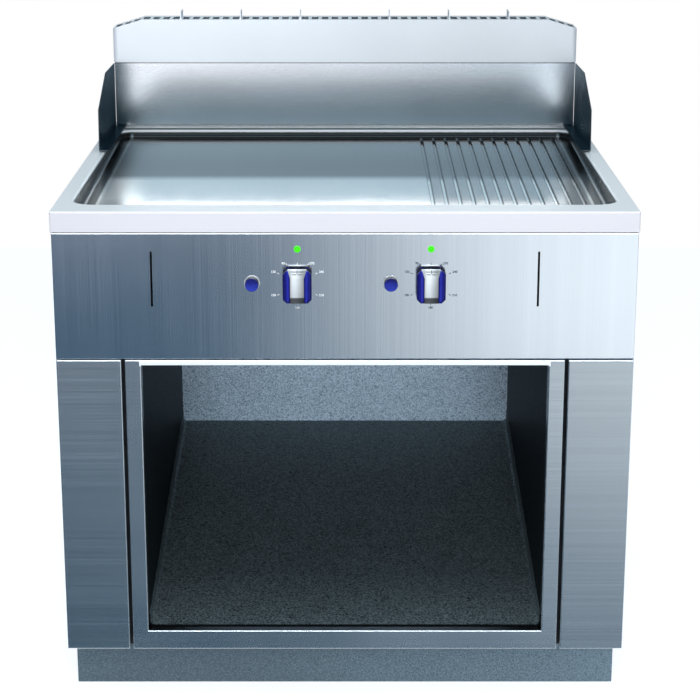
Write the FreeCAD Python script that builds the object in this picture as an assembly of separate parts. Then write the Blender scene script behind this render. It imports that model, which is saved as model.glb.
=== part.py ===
import FreeCAD, Part
import math
import os

# Free-standing gas griddle.  Millimetres, +Z up, Z = 0 on the floor, X = 0 in the middle.
# Inside this file Y = 0 is the front edge of the worktop; every node is shifted by Y_SHIFT
# when it is written, so that the origin sits under the middle of the whole envelope.

V = FreeCAD.Vector

# ---- driving dimensions -------------------------------------------------------------------
WIDTH = 1000.0
DEPTH = 930.0
TOP_Z = 900.0
KNOB_REACH = 30.0
Y_SHIFT = -(DEPTH - KNOB_REACH) / 2

SHEET = 1.5
THIN = 1.2
TOP_SHEET = 2.5
SKIRT_SHEET = 2.0
SKIRT_DROP = 36.0

# working clearances
RUN = 0.05            # radial, turning and sliding fits
FIT = 0.1             # radial, screws and tubes in their holes
GAP = 0.3             # between neighbouring pieces that do not touch
SEAM = 1.2            # open joint between the front panels

# splashback and flue, measured back from the rear edge and up from the worktop
FLUE_DEPTH = 75.0
SPLASH_Y = DEPTH - FLUE_DEPTH
SPLASH_INSET = 20.5
SPLASH_HALF = WIDTH / 2 - SPLASH_INSET
SPLASH_RISE = 137.0
SPLASH_TOP = TOP_Z + SPLASH_RISE
HOOD_LAP = 2.5
HOOD_HALF = SPLASH_HALF + HOOD_LAP
HOOD_Y = SPLASH_Y - 1.0
FLUE_RISE = 225.0
FLUE_TOP = TOP_Z + FLUE_RISE
FLUE_END_DROP = 18.5
FLUE_END = FLUE_TOP - FLUE_END_DROP
FLUE_SLOPE_RUN = 62.0
FLUE_FLAT_HALF = HOOD_HALF - FLUE_SLOPE_RUN
FLUE_PITCH = 20.65
FLUE_SLOT_W = 13.5
FLUE_SLOTS = 2 * int((FLUE_FLAT_HALF - FLUE_SLOT_W / 2) / FLUE_PITCH) + 1
DUCT_HALF = 395.0
DUCT_FRONT = SPLASH_Y + 7.0
DUCT_BACK = DEPTH - 30.0

# cooking well and plate
RIM_SIDE = 30.0
RIM_BACK = 35.0
WELL_HALF = WIDTH / 2 - RIM_SIDE
WELL_FRONT = 61.0
WELL_BACK = SPLASH_Y - RIM_BACK
WELL_R = 40.0
WELL_WALL = 2.5
LIP_R = 5.0
PLATE_THICK = 15.0
PLATE_COVE = 8.0
PLATE_LOW_FRONT = 34.0
PLATE_LOW_BACK = 14.0
RIB_COUNT = 12
RIB_FIRST_X = 158.6
RIB_PITCH = 24.7
RIB_WIDTH = 6.5
RIB_DEPTH = 3.5
DRAIN_Y = 97.0
DRAIN_R = 20.0

# front
FRONT_Y = 2.0
FRONT_DEPTH = 20.0
FRONT_BACK = FRONT_Y + FRONT_DEPTH
FRONT_HALF = WIDTH / 2 - 1.5
FRONT_BEND = 2.0      # outside radius of the folded front edges
PLINTH_TOP = 97.0
PANEL_HEIGHT = 222.8
PANEL_HIGH = TOP_Z - SKIRT_DROP - SEAM
PANEL_LOW = PANEL_HIGH - PANEL_HEIGHT
BASE_LOW = PLINTH_TOP + 0.5
BASE_HIGH = PANEL_LOW - SEAM - GAP
OPEN_HALF = 352.0
FRAME_BORDER = 28.0
FRAME_HALF = OPEN_HALF + FRAME_BORDER
OPEN_LOW = 133.0
OPEN_HIGH = BASE_HIGH - 10.0
COVER_IN = FRAME_HALF + 6

# controls, placed from the knob's axis
KNOB_DROP = 88.6
KNOB_Z = PANEL_HIGH - KNOB_DROP
KNOB_X = {"left": -81.0, "right": 146.5}
BUTTON_X = {"left": -158.5, "right": 78.5}
BUTTON_Z = KNOB_Z + 0.8
LAMP_Z = KNOB_Z + 60.5
KNOB_HALF_W = 24.5
KNOB_HALF_H = 28.2
KNOB_BACK = -3.0
BUTTON_R = 11.5
BEZEL_R = BUTTON_R + 1.5
LENS_R = 5.8
SLOT_X = 330.0
SLOT_WIDTH = 3.7
SLOT_LOW = KNOB_Z - 40.0
SLOT_HIGH = SLOT_LOW + 96.1

# body
SIDE_OUT = WIDTH / 2 - 2.5
SIDE_FLANGE = 8.0
BACK_IN = DEPTH - 26.5
RING_HALF = SIDE_OUT - SIDE_FLANGE - SHEET - 0.5
RING_TOP = BASE_LOW + 28.5
CAVITY_BACK = DEPTH - 100.0
FLOOR_RISE_TO = 261.0
CEILING_TOP = OPEN_HIGH + THIN

# gas train
RAIL_DEPTH = 40.0
RAIL_LOW = OPEN_HIGH + 39.5
RAIL_HIGH = RAIL_LOW + RAIL_DEPTH
BURNER_X = {"left": -228.0, "right": 228.0}
BURNER_Z = RAIL_HIGH + 42.0
MANIFOLD_Y = 60.0
MANIFOLD_Z = RAIL_HIGH + 22.0
PIPE_R = 10.65
BOX_FRONT = 130.0
BOX_BACK = WELL_BACK - 18.5
BOX_HALF = WELL_HALF - 13.5
SPARK_Z = BURNER_Z + 46.0
PROBE_X = {"left": -112.0, "right": 118.0}
PROBE_Z = BURNER_Z + 65.0
SIDES = ("left", "right")


# ---- helpers ------------------------------------------------------------------------------
def box(x0, x1, y0, y1, z0, z1):
    return Part.makeBox(x1 - x0, y1 - y0, z1 - z0, V(x0, y0, z0))


def rod_y(x, z, r, y0, y1):
    return Part.makeCylinder(r, y1 - y0, V(x, y0, z), V(0, 1, 0))


def rod_x(y, z, r, x0, x1):
    return Part.makeCylinder(r, x1 - x0, V(x0, y, z), V(1, 0, 0))


def rod_z(x, y, r, z0, z1):
    return Part.makeCylinder(r, z1 - z0, V(x, y, z0), V(0, 0, 1))


def fuse(shapes):
    first = shapes[0]
    if len(shapes) == 1:
        return first
    return first.fuse(shapes[1:]).removeSplitter()


def cut(shape, tools):
    return shape.cut(Part.makeCompound(tools))


def mirror(shape):
    return shape.mirror(V(0, 0, 0), V(1, 0, 0))


def both(shape):
    return [shape, mirror(shape)]


def node(name, shapes):
    if not isinstance(shapes, (list, tuple)):
        shapes = [shapes]
    solids = [s for shape in shapes for s in shape.Solids]
    result = solids[0] if len(solids) == 1 else Part.makeCompound(solids)
    result = result.copy()
    result.translate(V(0, Y_SHIFT, 0))
    result.exportStep("parts/" + name + ".step")
    bounds = result.BoundBox
    print("%-22s %2d solids  valid %s  %s" % (name, len(solids), result.isValid(),
          [round(v, 1) for v in (bounds.XMin, bounds.XMax, bounds.YMin, bounds.YMax,
                                  bounds.ZMin, bounds.ZMax)]))


def prism(points, direction):
    wire = Part.makePolygon(points + [points[0]])
    return Part.Face(wire).extrude(direction)


def round_rect_prism(half, y0, y1, r, z0, z1):
    block = box(-half, half, y0, y1, z0, z1)
    upright = [e for e in block.Edges if abs(e.Vertexes[0].Z - e.Vertexes[-1].Z) > (z1 - z0) / 2]
    return block.makeFillet(r, upright)


def folded(x0, x1, y0, y1, z0, z1, t, open_to):
    """A sheet tray: the face opposite the open side is the skin, the other four are its returns."""
    inner = [x0 + t, x1 - t, y0 + t, y1 - t, z0 + t, z1 - t]
    reach = {"+y": (3, y1 + 1), "-y": (2, y0 - 1), "+x": (1, x1 + 1), "-x": (0, x0 - 1),
             "+z": (5, z1 + 1), "-z": (4, z0 - 1)}
    index, value = reach[open_to]
    inner[index] = value
    return box(x0, x1, y0, y1, z0, z1).cut(box(*inner))


def bent_rod(points, r, bend, bore=0.0):
    """A round bar or tube along a polyline, with the corners rounded to the bend radius."""
    pts = [V(*p) for p in points]
    edges = []
    start = pts[0]
    for here, after in zip(pts[1:-1], pts[2:]):
        back = (start - here).normalize()
        ahead = (after - here).normalize()
        angle = back.getAngle(ahead)
        reach = bend / math.tan(angle / 2)
        a = here + back * reach
        b = here + ahead * reach
        middle = (back + ahead).normalize()
        centre = here + middle * (bend / math.sin(angle / 2))
        m = centre - middle * bend
        if (a - start).Length > 1e-6:
            edges.append(Part.LineSegment(start, a).toShape())
        edges.append(Part.Arc(a, m, b).toShape())
        start = b
    if (pts[-1] - start).Length > 1e-6:
        edges.append(Part.LineSegment(start, pts[-1]).toShape())
    path = Part.Wire(edges)
    along = (pts[1] - pts[0]).normalize()

    def sweep(radius):
        ring = Part.Wire([Part.makeCircle(radius, pts[0], along)])
        return path.makePipeShell([ring], True, True)

    solid = sweep(r)
    if bore:
        solid = solid.cut(sweep(bore))
    return solid


# ---- the tilted plane of the plate --------------------------------------------------------
TILT = math.degrees(math.atan((PLATE_LOW_FRONT - PLATE_LOW_BACK) / (WELL_BACK - WELL_FRONT)))
PLATE_FRONT_Z = TOP_Z - PLATE_LOW_FRONT


def tilted(shape):
    """Turn a shape made level at the plate's front height so that it follows the plate's fall."""
    result = shape.copy()
    result.rotate(V(0, WELL_FRONT, PLATE_FRONT_Z), V(1, 0, 0), TILT)
    return result


def tilted_slab(z_above_plate, height):
    z = PLATE_FRONT_Z + z_above_plate
    return tilted(box(-WIDTH, WIDTH, -100, DEPTH + 100, z, z + height))


# ---- worktop ------------------------------------------------------------------------------
def make_worktop():
    outer = box(-WIDTH / 2, WIDTH / 2, 0, DEPTH, TOP_Z - SKIRT_DROP, TOP_Z)
    corners = [e for e in outer.Edges
               if abs(e.Vertexes[0].Z - e.Vertexes[-1].Z) > 1 and e.Vertexes[0].Y < 1]
    outer = outer.makeFillet(3.0, corners)
    rims = [e for e in outer.Edges if e.BoundBox.ZMin > TOP_Z - 0.01 and e.BoundBox.YMin < DEPTH - 1]
    outer = outer.makeFillet(2.5, rims)
    inner = box(-WIDTH / 2 + SKIRT_SHEET, WIDTH / 2 - SKIRT_SHEET, SKIRT_SHEET, DEPTH - SKIRT_SHEET,
                TOP_Z - SKIRT_DROP - 1, TOP_Z - TOP_SHEET)
    shell = outer.cut(inner)
    wall = round_rect_prism(WELL_HALF + WELL_WALL, WELL_FRONT - WELL_WALL, WELL_BACK + WELL_WALL,
                            WELL_R + WELL_WALL, TOP_Z - 60, TOP_Z - 0.5)
    wall = wall.cut(tilted_slab(PLATE_COVE - 100, 100))
    shell = fuse([shell, wall])
    shell = shell.cut(round_rect_prism(WELL_HALF, WELL_FRONT, WELL_BACK, WELL_R, TOP_Z - 90, TOP_Z + 5))
    lip = [e for e in shell.Edges
           if e.BoundBox.ZMin > TOP_Z - 0.01 and abs(e.BoundBox.Center.x) < WELL_HALF + 0.1
           and e.BoundBox.YMin > WELL_FRONT - 0.1 and e.BoundBox.YMax < WELL_BACK + 0.1]
    shell = shell.makeFillet(LIP_R, lip)
    shell = shell.cut(box(-DUCT_HALF - 2, DUCT_HALF + 2, DUCT_FRONT - 2, DUCT_BACK + 2,
                          TOP_Z - 10, TOP_Z + 5))
    return shell


def make_plate():
    z = PLATE_FRONT_Z
    block = round_rect_prism(WELL_HALF + WELL_WALL, WELL_FRONT - WELL_WALL, WELL_BACK + WELL_WALL,
                             WELL_R + WELL_WALL, z - PLATE_THICK, z + PLATE_COVE)
    pocket = round_rect_prism(WELL_HALF, WELL_FRONT, WELL_BACK, WELL_R, z, z + PLATE_COVE + 10)
    floor_edges = [e for e in pocket.Edges if e.BoundBox.ZMax < z + 0.01]
    pocket = pocket.makeFillet(PLATE_COVE - 0.01, floor_edges)
    plate = block.cut(pocket)
    half = RIB_WIDTH / 2
    root = half - 1.2
    y0 = WELL_FRONT + PLATE_COVE + 6
    y1 = WELL_BACK - PLATE_COVE - 2
    grooves = []
    for i in range(RIB_COUNT):
        x = RIB_FIRST_X + i * RIB_PITCH
        profile = [V(x - half, y0, z + 1), V(x + half, y0, z + 1), V(x + half, y0, z),
                   V(x + root, y0, z - RIB_DEPTH), V(x - root, y0, z - RIB_DEPTH), V(x - half, y0, z)]
        grooves.append(prism(profile, V(0, y1 - y0, 0)))
    plate = cut(plate, grooves)
    plate = tilted(plate)
    return plate.cut(rod_z(0, DRAIN_Y, DRAIN_R, z - 60, z + 30))


node("worktop", make_worktop())
node("griddle_plate", make_plate())


# ---- front panels -------------------------------------------------------------------------
def bend_front(shape):
    """Round the edges where a front skin turns back into its returns."""
    edges = [e for e in shape.Edges if e.BoundBox.YMax < FRONT_Y + 0.01]
    return shape.makeFillet(FRONT_BEND, edges)


def make_control_panel():
    panel = folded(-FRONT_HALF, FRONT_HALF, FRONT_Y, FRONT_BACK, PANEL_LOW, PANEL_HIGH, SHEET, "+y")
    panel = bend_front(panel)
    y0, y1 = FRONT_Y - 1, FRONT_Y + SHEET + 1
    holes = []
    for side in SIDES:
        holes.append(rod_y(KNOB_X[side], KNOB_Z, 7.0, y0, y1))
        holes.append(rod_y(BUTTON_X[side], BUTTON_Z, BEZEL_R, y0, y1))
        holes.append(rod_y(KNOB_X[side], LAMP_Z, LENS_R + FIT, y0, y1))
    for x in (-SLOT_X, SLOT_X):
        holes.append(box(x - SLOT_WIDTH / 2, x + SLOT_WIDTH / 2, y0, y1, SLOT_LOW, SLOT_HIGH))
    return cut(panel, holes)


def make_opening_frame():
    """Pressed surround of the open base: a channel ring, open to the back."""
    ring = box(-FRAME_HALF, FRAME_HALF, FRONT_Y, FRONT_BACK, BASE_LOW, BASE_HIGH)
    ring = ring.cut(box(-OPEN_HALF, OPEN_HALF, 0, FRONT_BACK + 1, OPEN_LOW, OPEN_HIGH))
    hollow = box(-FRAME_HALF + SHEET, FRAME_HALF - SHEET, FRONT_Y + SHEET, FRONT_BACK + 1,
                 BASE_LOW + SHEET, BASE_HIGH - SHEET)
    hollow = hollow.cut(box(-OPEN_HALF - SHEET, OPEN_HALF + SHEET, 0, FRONT_BACK + 2,
                            OPEN_LOW - SHEET, OPEN_HIGH + SHEET))
    return bend_front(ring.cut(hollow))


node("control_panel", make_control_panel())
node("opening_frame", make_opening_frame())
cover = bend_front(folded(COVER_IN, FRONT_HALF, FRONT_Y, FRONT_BACK, BASE_LOW, BASE_HIGH, SHEET, "+y"))
node("base_cover_right", cover)
node("base_cover_left", mirror(cover))


# ---- carcass ------------------------------------------------------------------------------
side = folded(SIDE_OUT - SHEET - SIDE_FLANGE, SIDE_OUT, FRONT_BACK, BACK_IN, BASE_LOW,
              TOP_Z - TOP_SHEET, SHEET, "-x")
SCREW_X = SIDE_OUT - 4.2
SCREW_ZS = (150.0, 380.0, OPEN_HIGH - 18.5, TOP_Z - 65)
SCREW_R = 1.9
side = cut(side, [rod_y(SCREW_X, z, SCREW_R + FIT, BACK_IN - 5, BACK_IN + 5) for z in SCREW_ZS])
node("side_panel_right", side)
node("side_panel_left", mirror(side))

GAS_X = SIDE_OUT - 67.5
GAS_Z = 160.0
CABLE_X = SIDE_OUT - 27.5
CABLE_Z = 200.0
rear = box(-SIDE_OUT, SIDE_OUT, BACK_IN, BACK_IN + SHEET, BASE_LOW, TOP_Z - SKIRT_DROP - 4)
rear_holes = [rod_y(x, z, SCREW_R + FIT, BACK_IN - 5, BACK_IN + 5)
              for x in (-SCREW_X, SCREW_X) for z in SCREW_ZS]
rear_holes.append(rod_y(GAS_X, GAS_Z, PIPE_R + FIT, BACK_IN - 5, BACK_IN + 5))
rear_holes.append(rod_y(CABLE_X, CABLE_Z, 7.0, BACK_IN - 5, BACK_IN + 5))
VENT_HALF = 17.0
VENT_PITCH = 50.0
VENT_LOW = OPEN_HIGH - 68.5
for row_z in (VENT_LOW, VENT_LOW + 40, VENT_LOW + 80):
    for k in range(-6, 7):
        x = k * VENT_PITCH
        rear_holes.append(box(x - VENT_HALF, x + VENT_HALF, BACK_IN - 5, BACK_IN + 5, row_z, row_z + 8))
node("rear_panel", cut(rear, rear_holes))


def make_chassis():
    """Base ring of downward channels that carries the side panels, the cavity and the feet."""
    y_front, y_rear = 24.0, BACK_IN - 2.5
    inner = (RING_HALF - 63.5, 88.0, CAVITY_BACK - 5)
    wall = 2.0
    ring = box(-RING_HALF, RING_HALF, y_front, y_rear, BASE_LOW + 0.5, RING_TOP)
    ring = ring.cut(box(-inner[0], inner[0], inner[1], inner[2], BASE_LOW - 1, RING_TOP + 1))
    hollow = box(-RING_HALF + wall, RING_HALF - wall, y_front + wall, y_rear - wall,
                 BASE_LOW - 1, RING_TOP - wall)
    hollow = hollow.cut(box(-inner[0] - wall, inner[0] + wall, inner[1] - wall, inner[2] + wall,
                            BASE_LOW - 2, RING_TOP))
    return ring.cut(hollow)


FOOT_X = RING_HALF - 31.5
FOOT_AT = [(x, y) for x in (-FOOT_X, FOOT_X) for y in (130.0, CAVITY_BACK)]
STUD_R = 6.0
chassis = cut(make_chassis(), [rod_z(x, y, STUD_R + FIT, RING_TOP - 10, RING_TOP + 10) for x, y in FOOT_AT])
node("base_chassis", chassis)

feet = []
nuts = []
for x, y in FOOT_AT:
    pad = Part.makeCone(25, 20, 12, V(x, y, 0))
    feet.append(fuse([pad, rod_z(x, y, STUD_R, 11, RING_TOP + 10)]))
    hexagon = [V(x + 11 * math.cos(math.radians(60 * k)), y + 11 * math.sin(math.radians(60 * k)),
                 RING_TOP - 12) for k in range(6)]
    nut = prism(hexagon, V(0, 0, 10))
    nuts.append(nut.cut(rod_z(x, y, STUD_R + RUN, RING_TOP - 20, RING_TOP)))
node("levelling_feet", feet)
node("foot_nuts", nuts)

screws = []
for x in (-SCREW_X, SCREW_X):
    for z in SCREW_ZS:
        head = rod_y(x, z, 3.8, BACK_IN + SHEET, BACK_IN + SHEET + 2.2)
        screws.append(fuse([head, rod_y(x, z, SCREW_R, BACK_IN - 6, BACK_IN + SHEET + 1)]))
node("rear_panel_screws", screws)

# plinth
PLINTH_HALF = WIDTH / 2 - 8
PLINTH_Y = 72.0
PLINTH_BACK = DEPTH - 50
node("plinth_front", folded(-PLINTH_HALF, PLINTH_HALF, PLINTH_Y, PLINTH_Y + 14, 0, PLINTH_TOP, SHEET, "+y"))
surround = box(-PLINTH_HALF, PLINTH_HALF, PLINTH_Y + 14, PLINTH_BACK, 0, PLINTH_TOP)
surround = surround.cut(box(-PLINTH_HALF + SHEET, PLINTH_HALF - SHEET, 0, PLINTH_BACK - SHEET,
                            -1, PLINTH_TOP + 1))
node("plinth_surround", surround)

# posts behind the joints of the base front
post = folded(OPEN_HALF + THIN + GAP + 1, COVER_IN + 10, FRONT_BACK, FRONT_BACK + 18,
              RING_TOP, BASE_HIGH + 18.3, SHEET, "+y")
post = post.cut(box(OPEN_HALF + 1, COVER_IN + 5, FRONT_BACK - 1, FRONT_BACK + SHEET, RING_TOP - 1, RING_TOP))
node("front_posts", both(post))

# open base: side walls, back wall, sloping floor pan, ceiling
wall = box(OPEN_HALF, OPEN_HALF + THIN, FRONT_BACK, CAVITY_BACK + THIN, RING_TOP, OPEN_HIGH)
node("cavity_side_walls", both(wall))
node("cavity_back_wall", box(-OPEN_HALF, OPEN_HALF, CAVITY_BACK, CAVITY_BACK + THIN, RING_TOP, OPEN_HIGH))


def make_floor_pan():
    """Sloping pan whose long sides curl up against the cavity walls."""
    length = CAVITY_BACK - FRONT_BACK
    rise = FLOOR_RISE_TO - (OPEN_LOW + 1)
    slope = math.degrees(math.atan(rise / length))
    radius = 8.0
    lip = 14.0
    z = OPEN_LOW + 1

    def trough(half, r, low):
        block = box(-half, half, -40, length + 80, low, low + 300)
        long_edges = [e for e in block.Edges
                      if e.BoundBox.ZMax < low + 0.01 and e.BoundBox.YLength > length]
        return block.makeFillet(r, long_edges)

    pan = trough(OPEN_HALF, radius + THIN, z - THIN).cut(trough(OPEN_HALF - THIN, radius, z))
    pan = pan.common(box(-WIDTH, WIDTH, -60, length + 100, z - 10, z + radius + lip))
    pan.rotate(V(0, 0, z), V(1, 0, 0), slope)
    pan.translate(V(0, FRONT_BACK, 0))
    return pan.common(box(-WIDTH, WIDTH, FRONT_BACK, CAVITY_BACK, 0, OPEN_HIGH))


node("cavity_floor_pan", make_floor_pan())

SPOUT_R = 14.0
SPOUT_BORE = 12.5
SPOUT_END_Y = 290.0
ceiling = box(-OPEN_HALF - THIN, OPEN_HALF + THIN, FRONT_BACK, CAVITY_BACK + THIN, OPEN_HIGH, CEILING_TOP)
node("cavity_ceiling", ceiling.cut(rod_z(0, SPOUT_END_Y, SPOUT_R + 3, OPEN_HIGH - 5, CEILING_TOP + 5)))

rails = []
for y in (140.0, CAVITY_BACK - 70):
    rails.append(folded(-SIDE_OUT + SHEET, SIDE_OUT - SHEET, y, y + 40, RAIL_LOW, RAIL_HIGH, 2.0, "-z"))
node("cross_rails", rails)


# ---- firebox and burners ------------------------------------------------------------------
def front_passages(extra):
    tools = []
    for s in SIDES:
        tools.append(rod_y(BURNER_X[s], BURNER_Z, 20.0 + extra, 100, BOX_FRONT + 10))
        tools.append(rod_y(BUTTON_X[s], SPARK_Z, 5.0 + FIT + extra, 100, BOX_FRONT + 10))
        tools.append(rod_y(PROBE_X[s], PROBE_Z, 2.5 + FIT + extra, 100, BOX_FRONT + 10))
    return tools


FLUE_MOUTH = (DUCT_HALF - 5, RAIL_HIGH + 22, RAIL_HIGH + 92)
AIR_HALF = 150.0
AIR_Y = (252.0, BOX_BACK - 111.5)


def make_firebox():
    """Five welded sheets: floor with air windows, front, two sides, and a back with the mouth of the flue."""
    floor = box(-BOX_HALF, BOX_HALF, BOX_FRONT, BOX_BACK, RAIL_HIGH, RAIL_HIGH + SHEET)
    air = [box(x - AIR_HALF, x + AIR_HALF, AIR_Y[0], AIR_Y[1], RAIL_HIGH - 5, RAIL_HIGH + 5)
           for x in BURNER_X.values()]
    low, high = RAIL_HIGH + SHEET, TOP_Z
    under_plate = tilted_slab(-PLATE_THICK, 200)
    front = box(-BOX_HALF, BOX_HALF, BOX_FRONT, BOX_FRONT + SHEET, low, high)
    front = cut(front, front_passages(0))
    back = box(-BOX_HALF, BOX_HALF, BOX_BACK - SHEET, BOX_BACK, low, high)
    half, mouth_low, mouth_high = FLUE_MOUTH
    back = back.cut(box(-half, half, BOX_BACK - 10, BOX_BACK + 10, mouth_low, mouth_high))
    flank = box(BOX_HALF - SHEET, BOX_HALF, BOX_FRONT + SHEET, BOX_BACK - SHEET, low, high)
    walls = [wall.cut(under_plate) for wall in [front, back] + both(flank)]
    return [cut(floor, air)] + walls


node("firebox", make_firebox())

BOARD_TOP = PLATE_FRONT_Z - 34
boards = []
side_board = box(BOX_HALF, BOX_HALF + 28, BOX_FRONT + 2, BOX_BACK, RAIL_HIGH, BOARD_TOP)
boards += both(side_board)
front_board = box(16.5 - BOX_HALF, BOX_HALF - 16.5, BOX_FRONT - 18, BOX_FRONT, RAIL_HIGH + 2, BOARD_TOP)
boards.append(cut(front_board, front_passages(1)))
node("insulation_boards", boards)

TUBE_R = 15.0
TUBE_BORE = 13.0
TUBE_OFFSETS = (-165.0, -55.0, 55.0, 165.0)
TUBE_Y = (190.0, BOX_BACK - 31.5)
PORTS = 14


def make_burner(x):
    """Four ported tubes welded to one header box, whose throat passes through the firebox front."""
    header = box(x - 182, x + 182, 166, TUBE_Y[0], BURNER_Z - 15, BURNER_Z + 15)
    header = header.fuse(rod_y(x, BURNER_Z, 17.0, 118, 167))
    hollow = box(x - 180, x + 180, 168, TUBE_Y[0] - 2, BURNER_Z - 13, BURNER_Z + 13)
    openings = [hollow, rod_y(x, BURNER_Z, 15.0, 110, 170)]
    pitch = (TUBE_Y[1] - TUBE_Y[0] - 60) / (PORTS - 1)
    tubes = []
    seats = []
    for dx in TUBE_OFFSETS:
        openings.append(rod_y(x + dx, BURNER_Z, TUBE_BORE, TUBE_Y[0] - 4, TUBE_Y[0] + 4))
        tube = rod_y(x + dx, BURNER_Z, TUBE_R, TUBE_Y[0], TUBE_Y[1])
        seats.append(tube)
        ports = [rod_y(x + dx, BURNER_Z, TUBE_BORE, TUBE_Y[0] - 1, TUBE_Y[1] - 2)]
        for k in range(PORTS):
            y = TUBE_Y[0] + 35 + k * pitch
            ports.append(box(x + dx - 6, x + dx + 6, y, y + 2, BURNER_Z + 10, BURNER_Z + 20))
        tubes.append(cut(tube, ports))
    strips = [cut(box(x - 180, x + 180, y, y + 3, RAIL_HIGH + SHEET, BURNER_Z - 10), seats)
              for y in (240.0, BOX_BACK - 101.5)]
    return [cut(header, openings)] + tubes + strips


for name in SIDES:
    node("burner_" + name, make_burner(BURNER_X[name]))

# flue duct: collar on the firebox back, then a flat chimney up behind the splashback
COLLAR = (RAIL_HIGH + 20, RAIL_HIGH + 94)


def duct_block(inset, top, y_front, y_join):
    """The chimney and the collar that joins it to the firebox, as one block."""
    half = DUCT_HALF - inset
    chimney = box(-half, half, DUCT_FRONT + inset, DUCT_BACK - inset, RAIL_HIGH + inset, top)
    return chimney.fuse(box(-half, half, y_front, y_join, COLLAR[0] + inset, COLLAR[1] - inset))


duct_outer = duct_block(0, FLUE_TOP - 25, BOX_BACK, DUCT_FRONT + 8)
duct_inner = duct_block(THIN, FLUE_TOP - 15, BOX_BACK - 1, DUCT_FRONT + 18)
node("flue_duct", duct_outer.cut(duct_inner))


# ---- gas train ----------------------------------------------------------------------------
MANIFOLD_END = GAS_X - 40
pipe = bent_rod([(GAS_X, BACK_IN + 4, GAS_Z), (GAS_X, MANIFOLD_Y, GAS_Z),
                 (GAS_X, MANIFOLD_Y, MANIFOLD_Z), (MANIFOLD_END, MANIFOLD_Y, MANIFOLD_Z)], PIPE_R, 32.0, 8.5)
INLET_R = 10.3
inlet = rod_y(GAS_X, GAS_Z, INLET_R, BACK_IN + 4, DEPTH - 2).cut(
    rod_y(GAS_X, GAS_Z, 8.5, BACK_IN, DEPTH + 5))
node("gas_inlet_pipe", fuse([pipe, inlet]))

manifold = rod_x(MANIFOLD_Y, MANIFOLD_Z, PIPE_R, -112, MANIFOLD_END)
manifold = manifold.cut(rod_x(MANIFOLD_Y, MANIFOLD_Z, 8.5, -109, MANIFOLD_END + 1))
manifold = cut(manifold, [rod_z(KNOB_X[s], MANIFOLD_Y, 4.0, MANIFOLD_Z, MANIFOLD_Z + 20) for s in SIDES])
node("gas_manifold", manifold)

PLUG_R = 8.0
SPINDLE_R = 4.0
SPINDLE_FLAT = 2.5
VALVE_FRONT = 14.0
VALVE_BACK = 72.0


def d_rod(x, z, r, flat, y0, y1):
    return rod_y(x, z, r, y0, y1).cut(box(x + flat, x + r + 5, y0 - 1, y1 + 1, z - r - 5, z + r + 5))


def make_valve(x):
    block = box(x - 17, x + 17, 36, VALVE_BACK, KNOB_Z - 16, KNOB_Z + 18)
    neck = rod_y(x, KNOB_Z, 13.0, VALVE_FRONT, 37)
    stub = rod_z(x, MANIFOLD_Y, 8.0, MANIFOLD_Z + 6, KNOB_Z - 15)
    valve = fuse([block, neck, stub])
    tools = [rod_y(x, KNOB_Z, PLUG_R + RUN, 20, 62),
             rod_y(x, KNOB_Z, SPINDLE_R + 0.5, VALVE_FRONT - 1, 21),
             rod_y(x, KNOB_Z, 3.5, 61, VALVE_BACK + 1),
             rod_z(x, MANIFOLD_Y, 4.0, MANIFOLD_Z, KNOB_Z - 4),
             rod_x(MANIFOLD_Y, MANIFOLD_Z, PIPE_R + RUN, x - 30, x + 30)]
    return cut(valve, tools)


node("valve_bodies", [make_valve(KNOB_X[s]) for s in SIDES])

for name in SIDES:
    x = KNOB_X[name]
    plug = rod_y(x, KNOB_Z, PLUG_R, 20 + GAP, 62 - GAP)
    plug = plug.cut(d_rod(x, KNOB_Z, SPINDLE_R + RUN, SPINDLE_FLAT + RUN, 19, 63))
    plug = plug.cut(rod_z(x, MANIFOLD_Y, 3.0, KNOB_Z - 10, KNOB_Z - 3))
    node("valve_plug_" + name, plug)
    node("valve_spindle_" + name, d_rod(x, KNOB_Z, SPINDLE_R, SPINDLE_FLAT, -10.7, 46))

FEED_Y = 90.0
feeds = []
injectors = []
for name in SIDES:
    xv = KNOB_X[name]
    xb = BURNER_X[name]
    feeds.append(bent_rod([(xv, VALVE_BACK, KNOB_Z), (xv, FEED_Y, KNOB_Z), (xb, FEED_Y, KNOB_Z),
                           (xb, FEED_Y, BURNER_Z), (xb, FEED_Y + 14, BURNER_Z)], 5.0, 12.0, 3.5))
    hexagon = [V(xb + 9 * math.cos(math.radians(60 * k)), FEED_Y + 14,
                 BURNER_Z + 9 * math.sin(math.radians(60 * k))) for k in range(6)]
    nozzle = fuse([prism(hexagon, V(0, 10, 0)), rod_y(xb, BURNER_Z, 6.0, FEED_Y + 23, FEED_Y + 36)])
    injectors.append(nozzle.cut(rod_y(xb, BURNER_Z, 1.2, FEED_Y, FEED_Y + 50)))
node("feed_pipes", feeds)
node("injectors", injectors)


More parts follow.
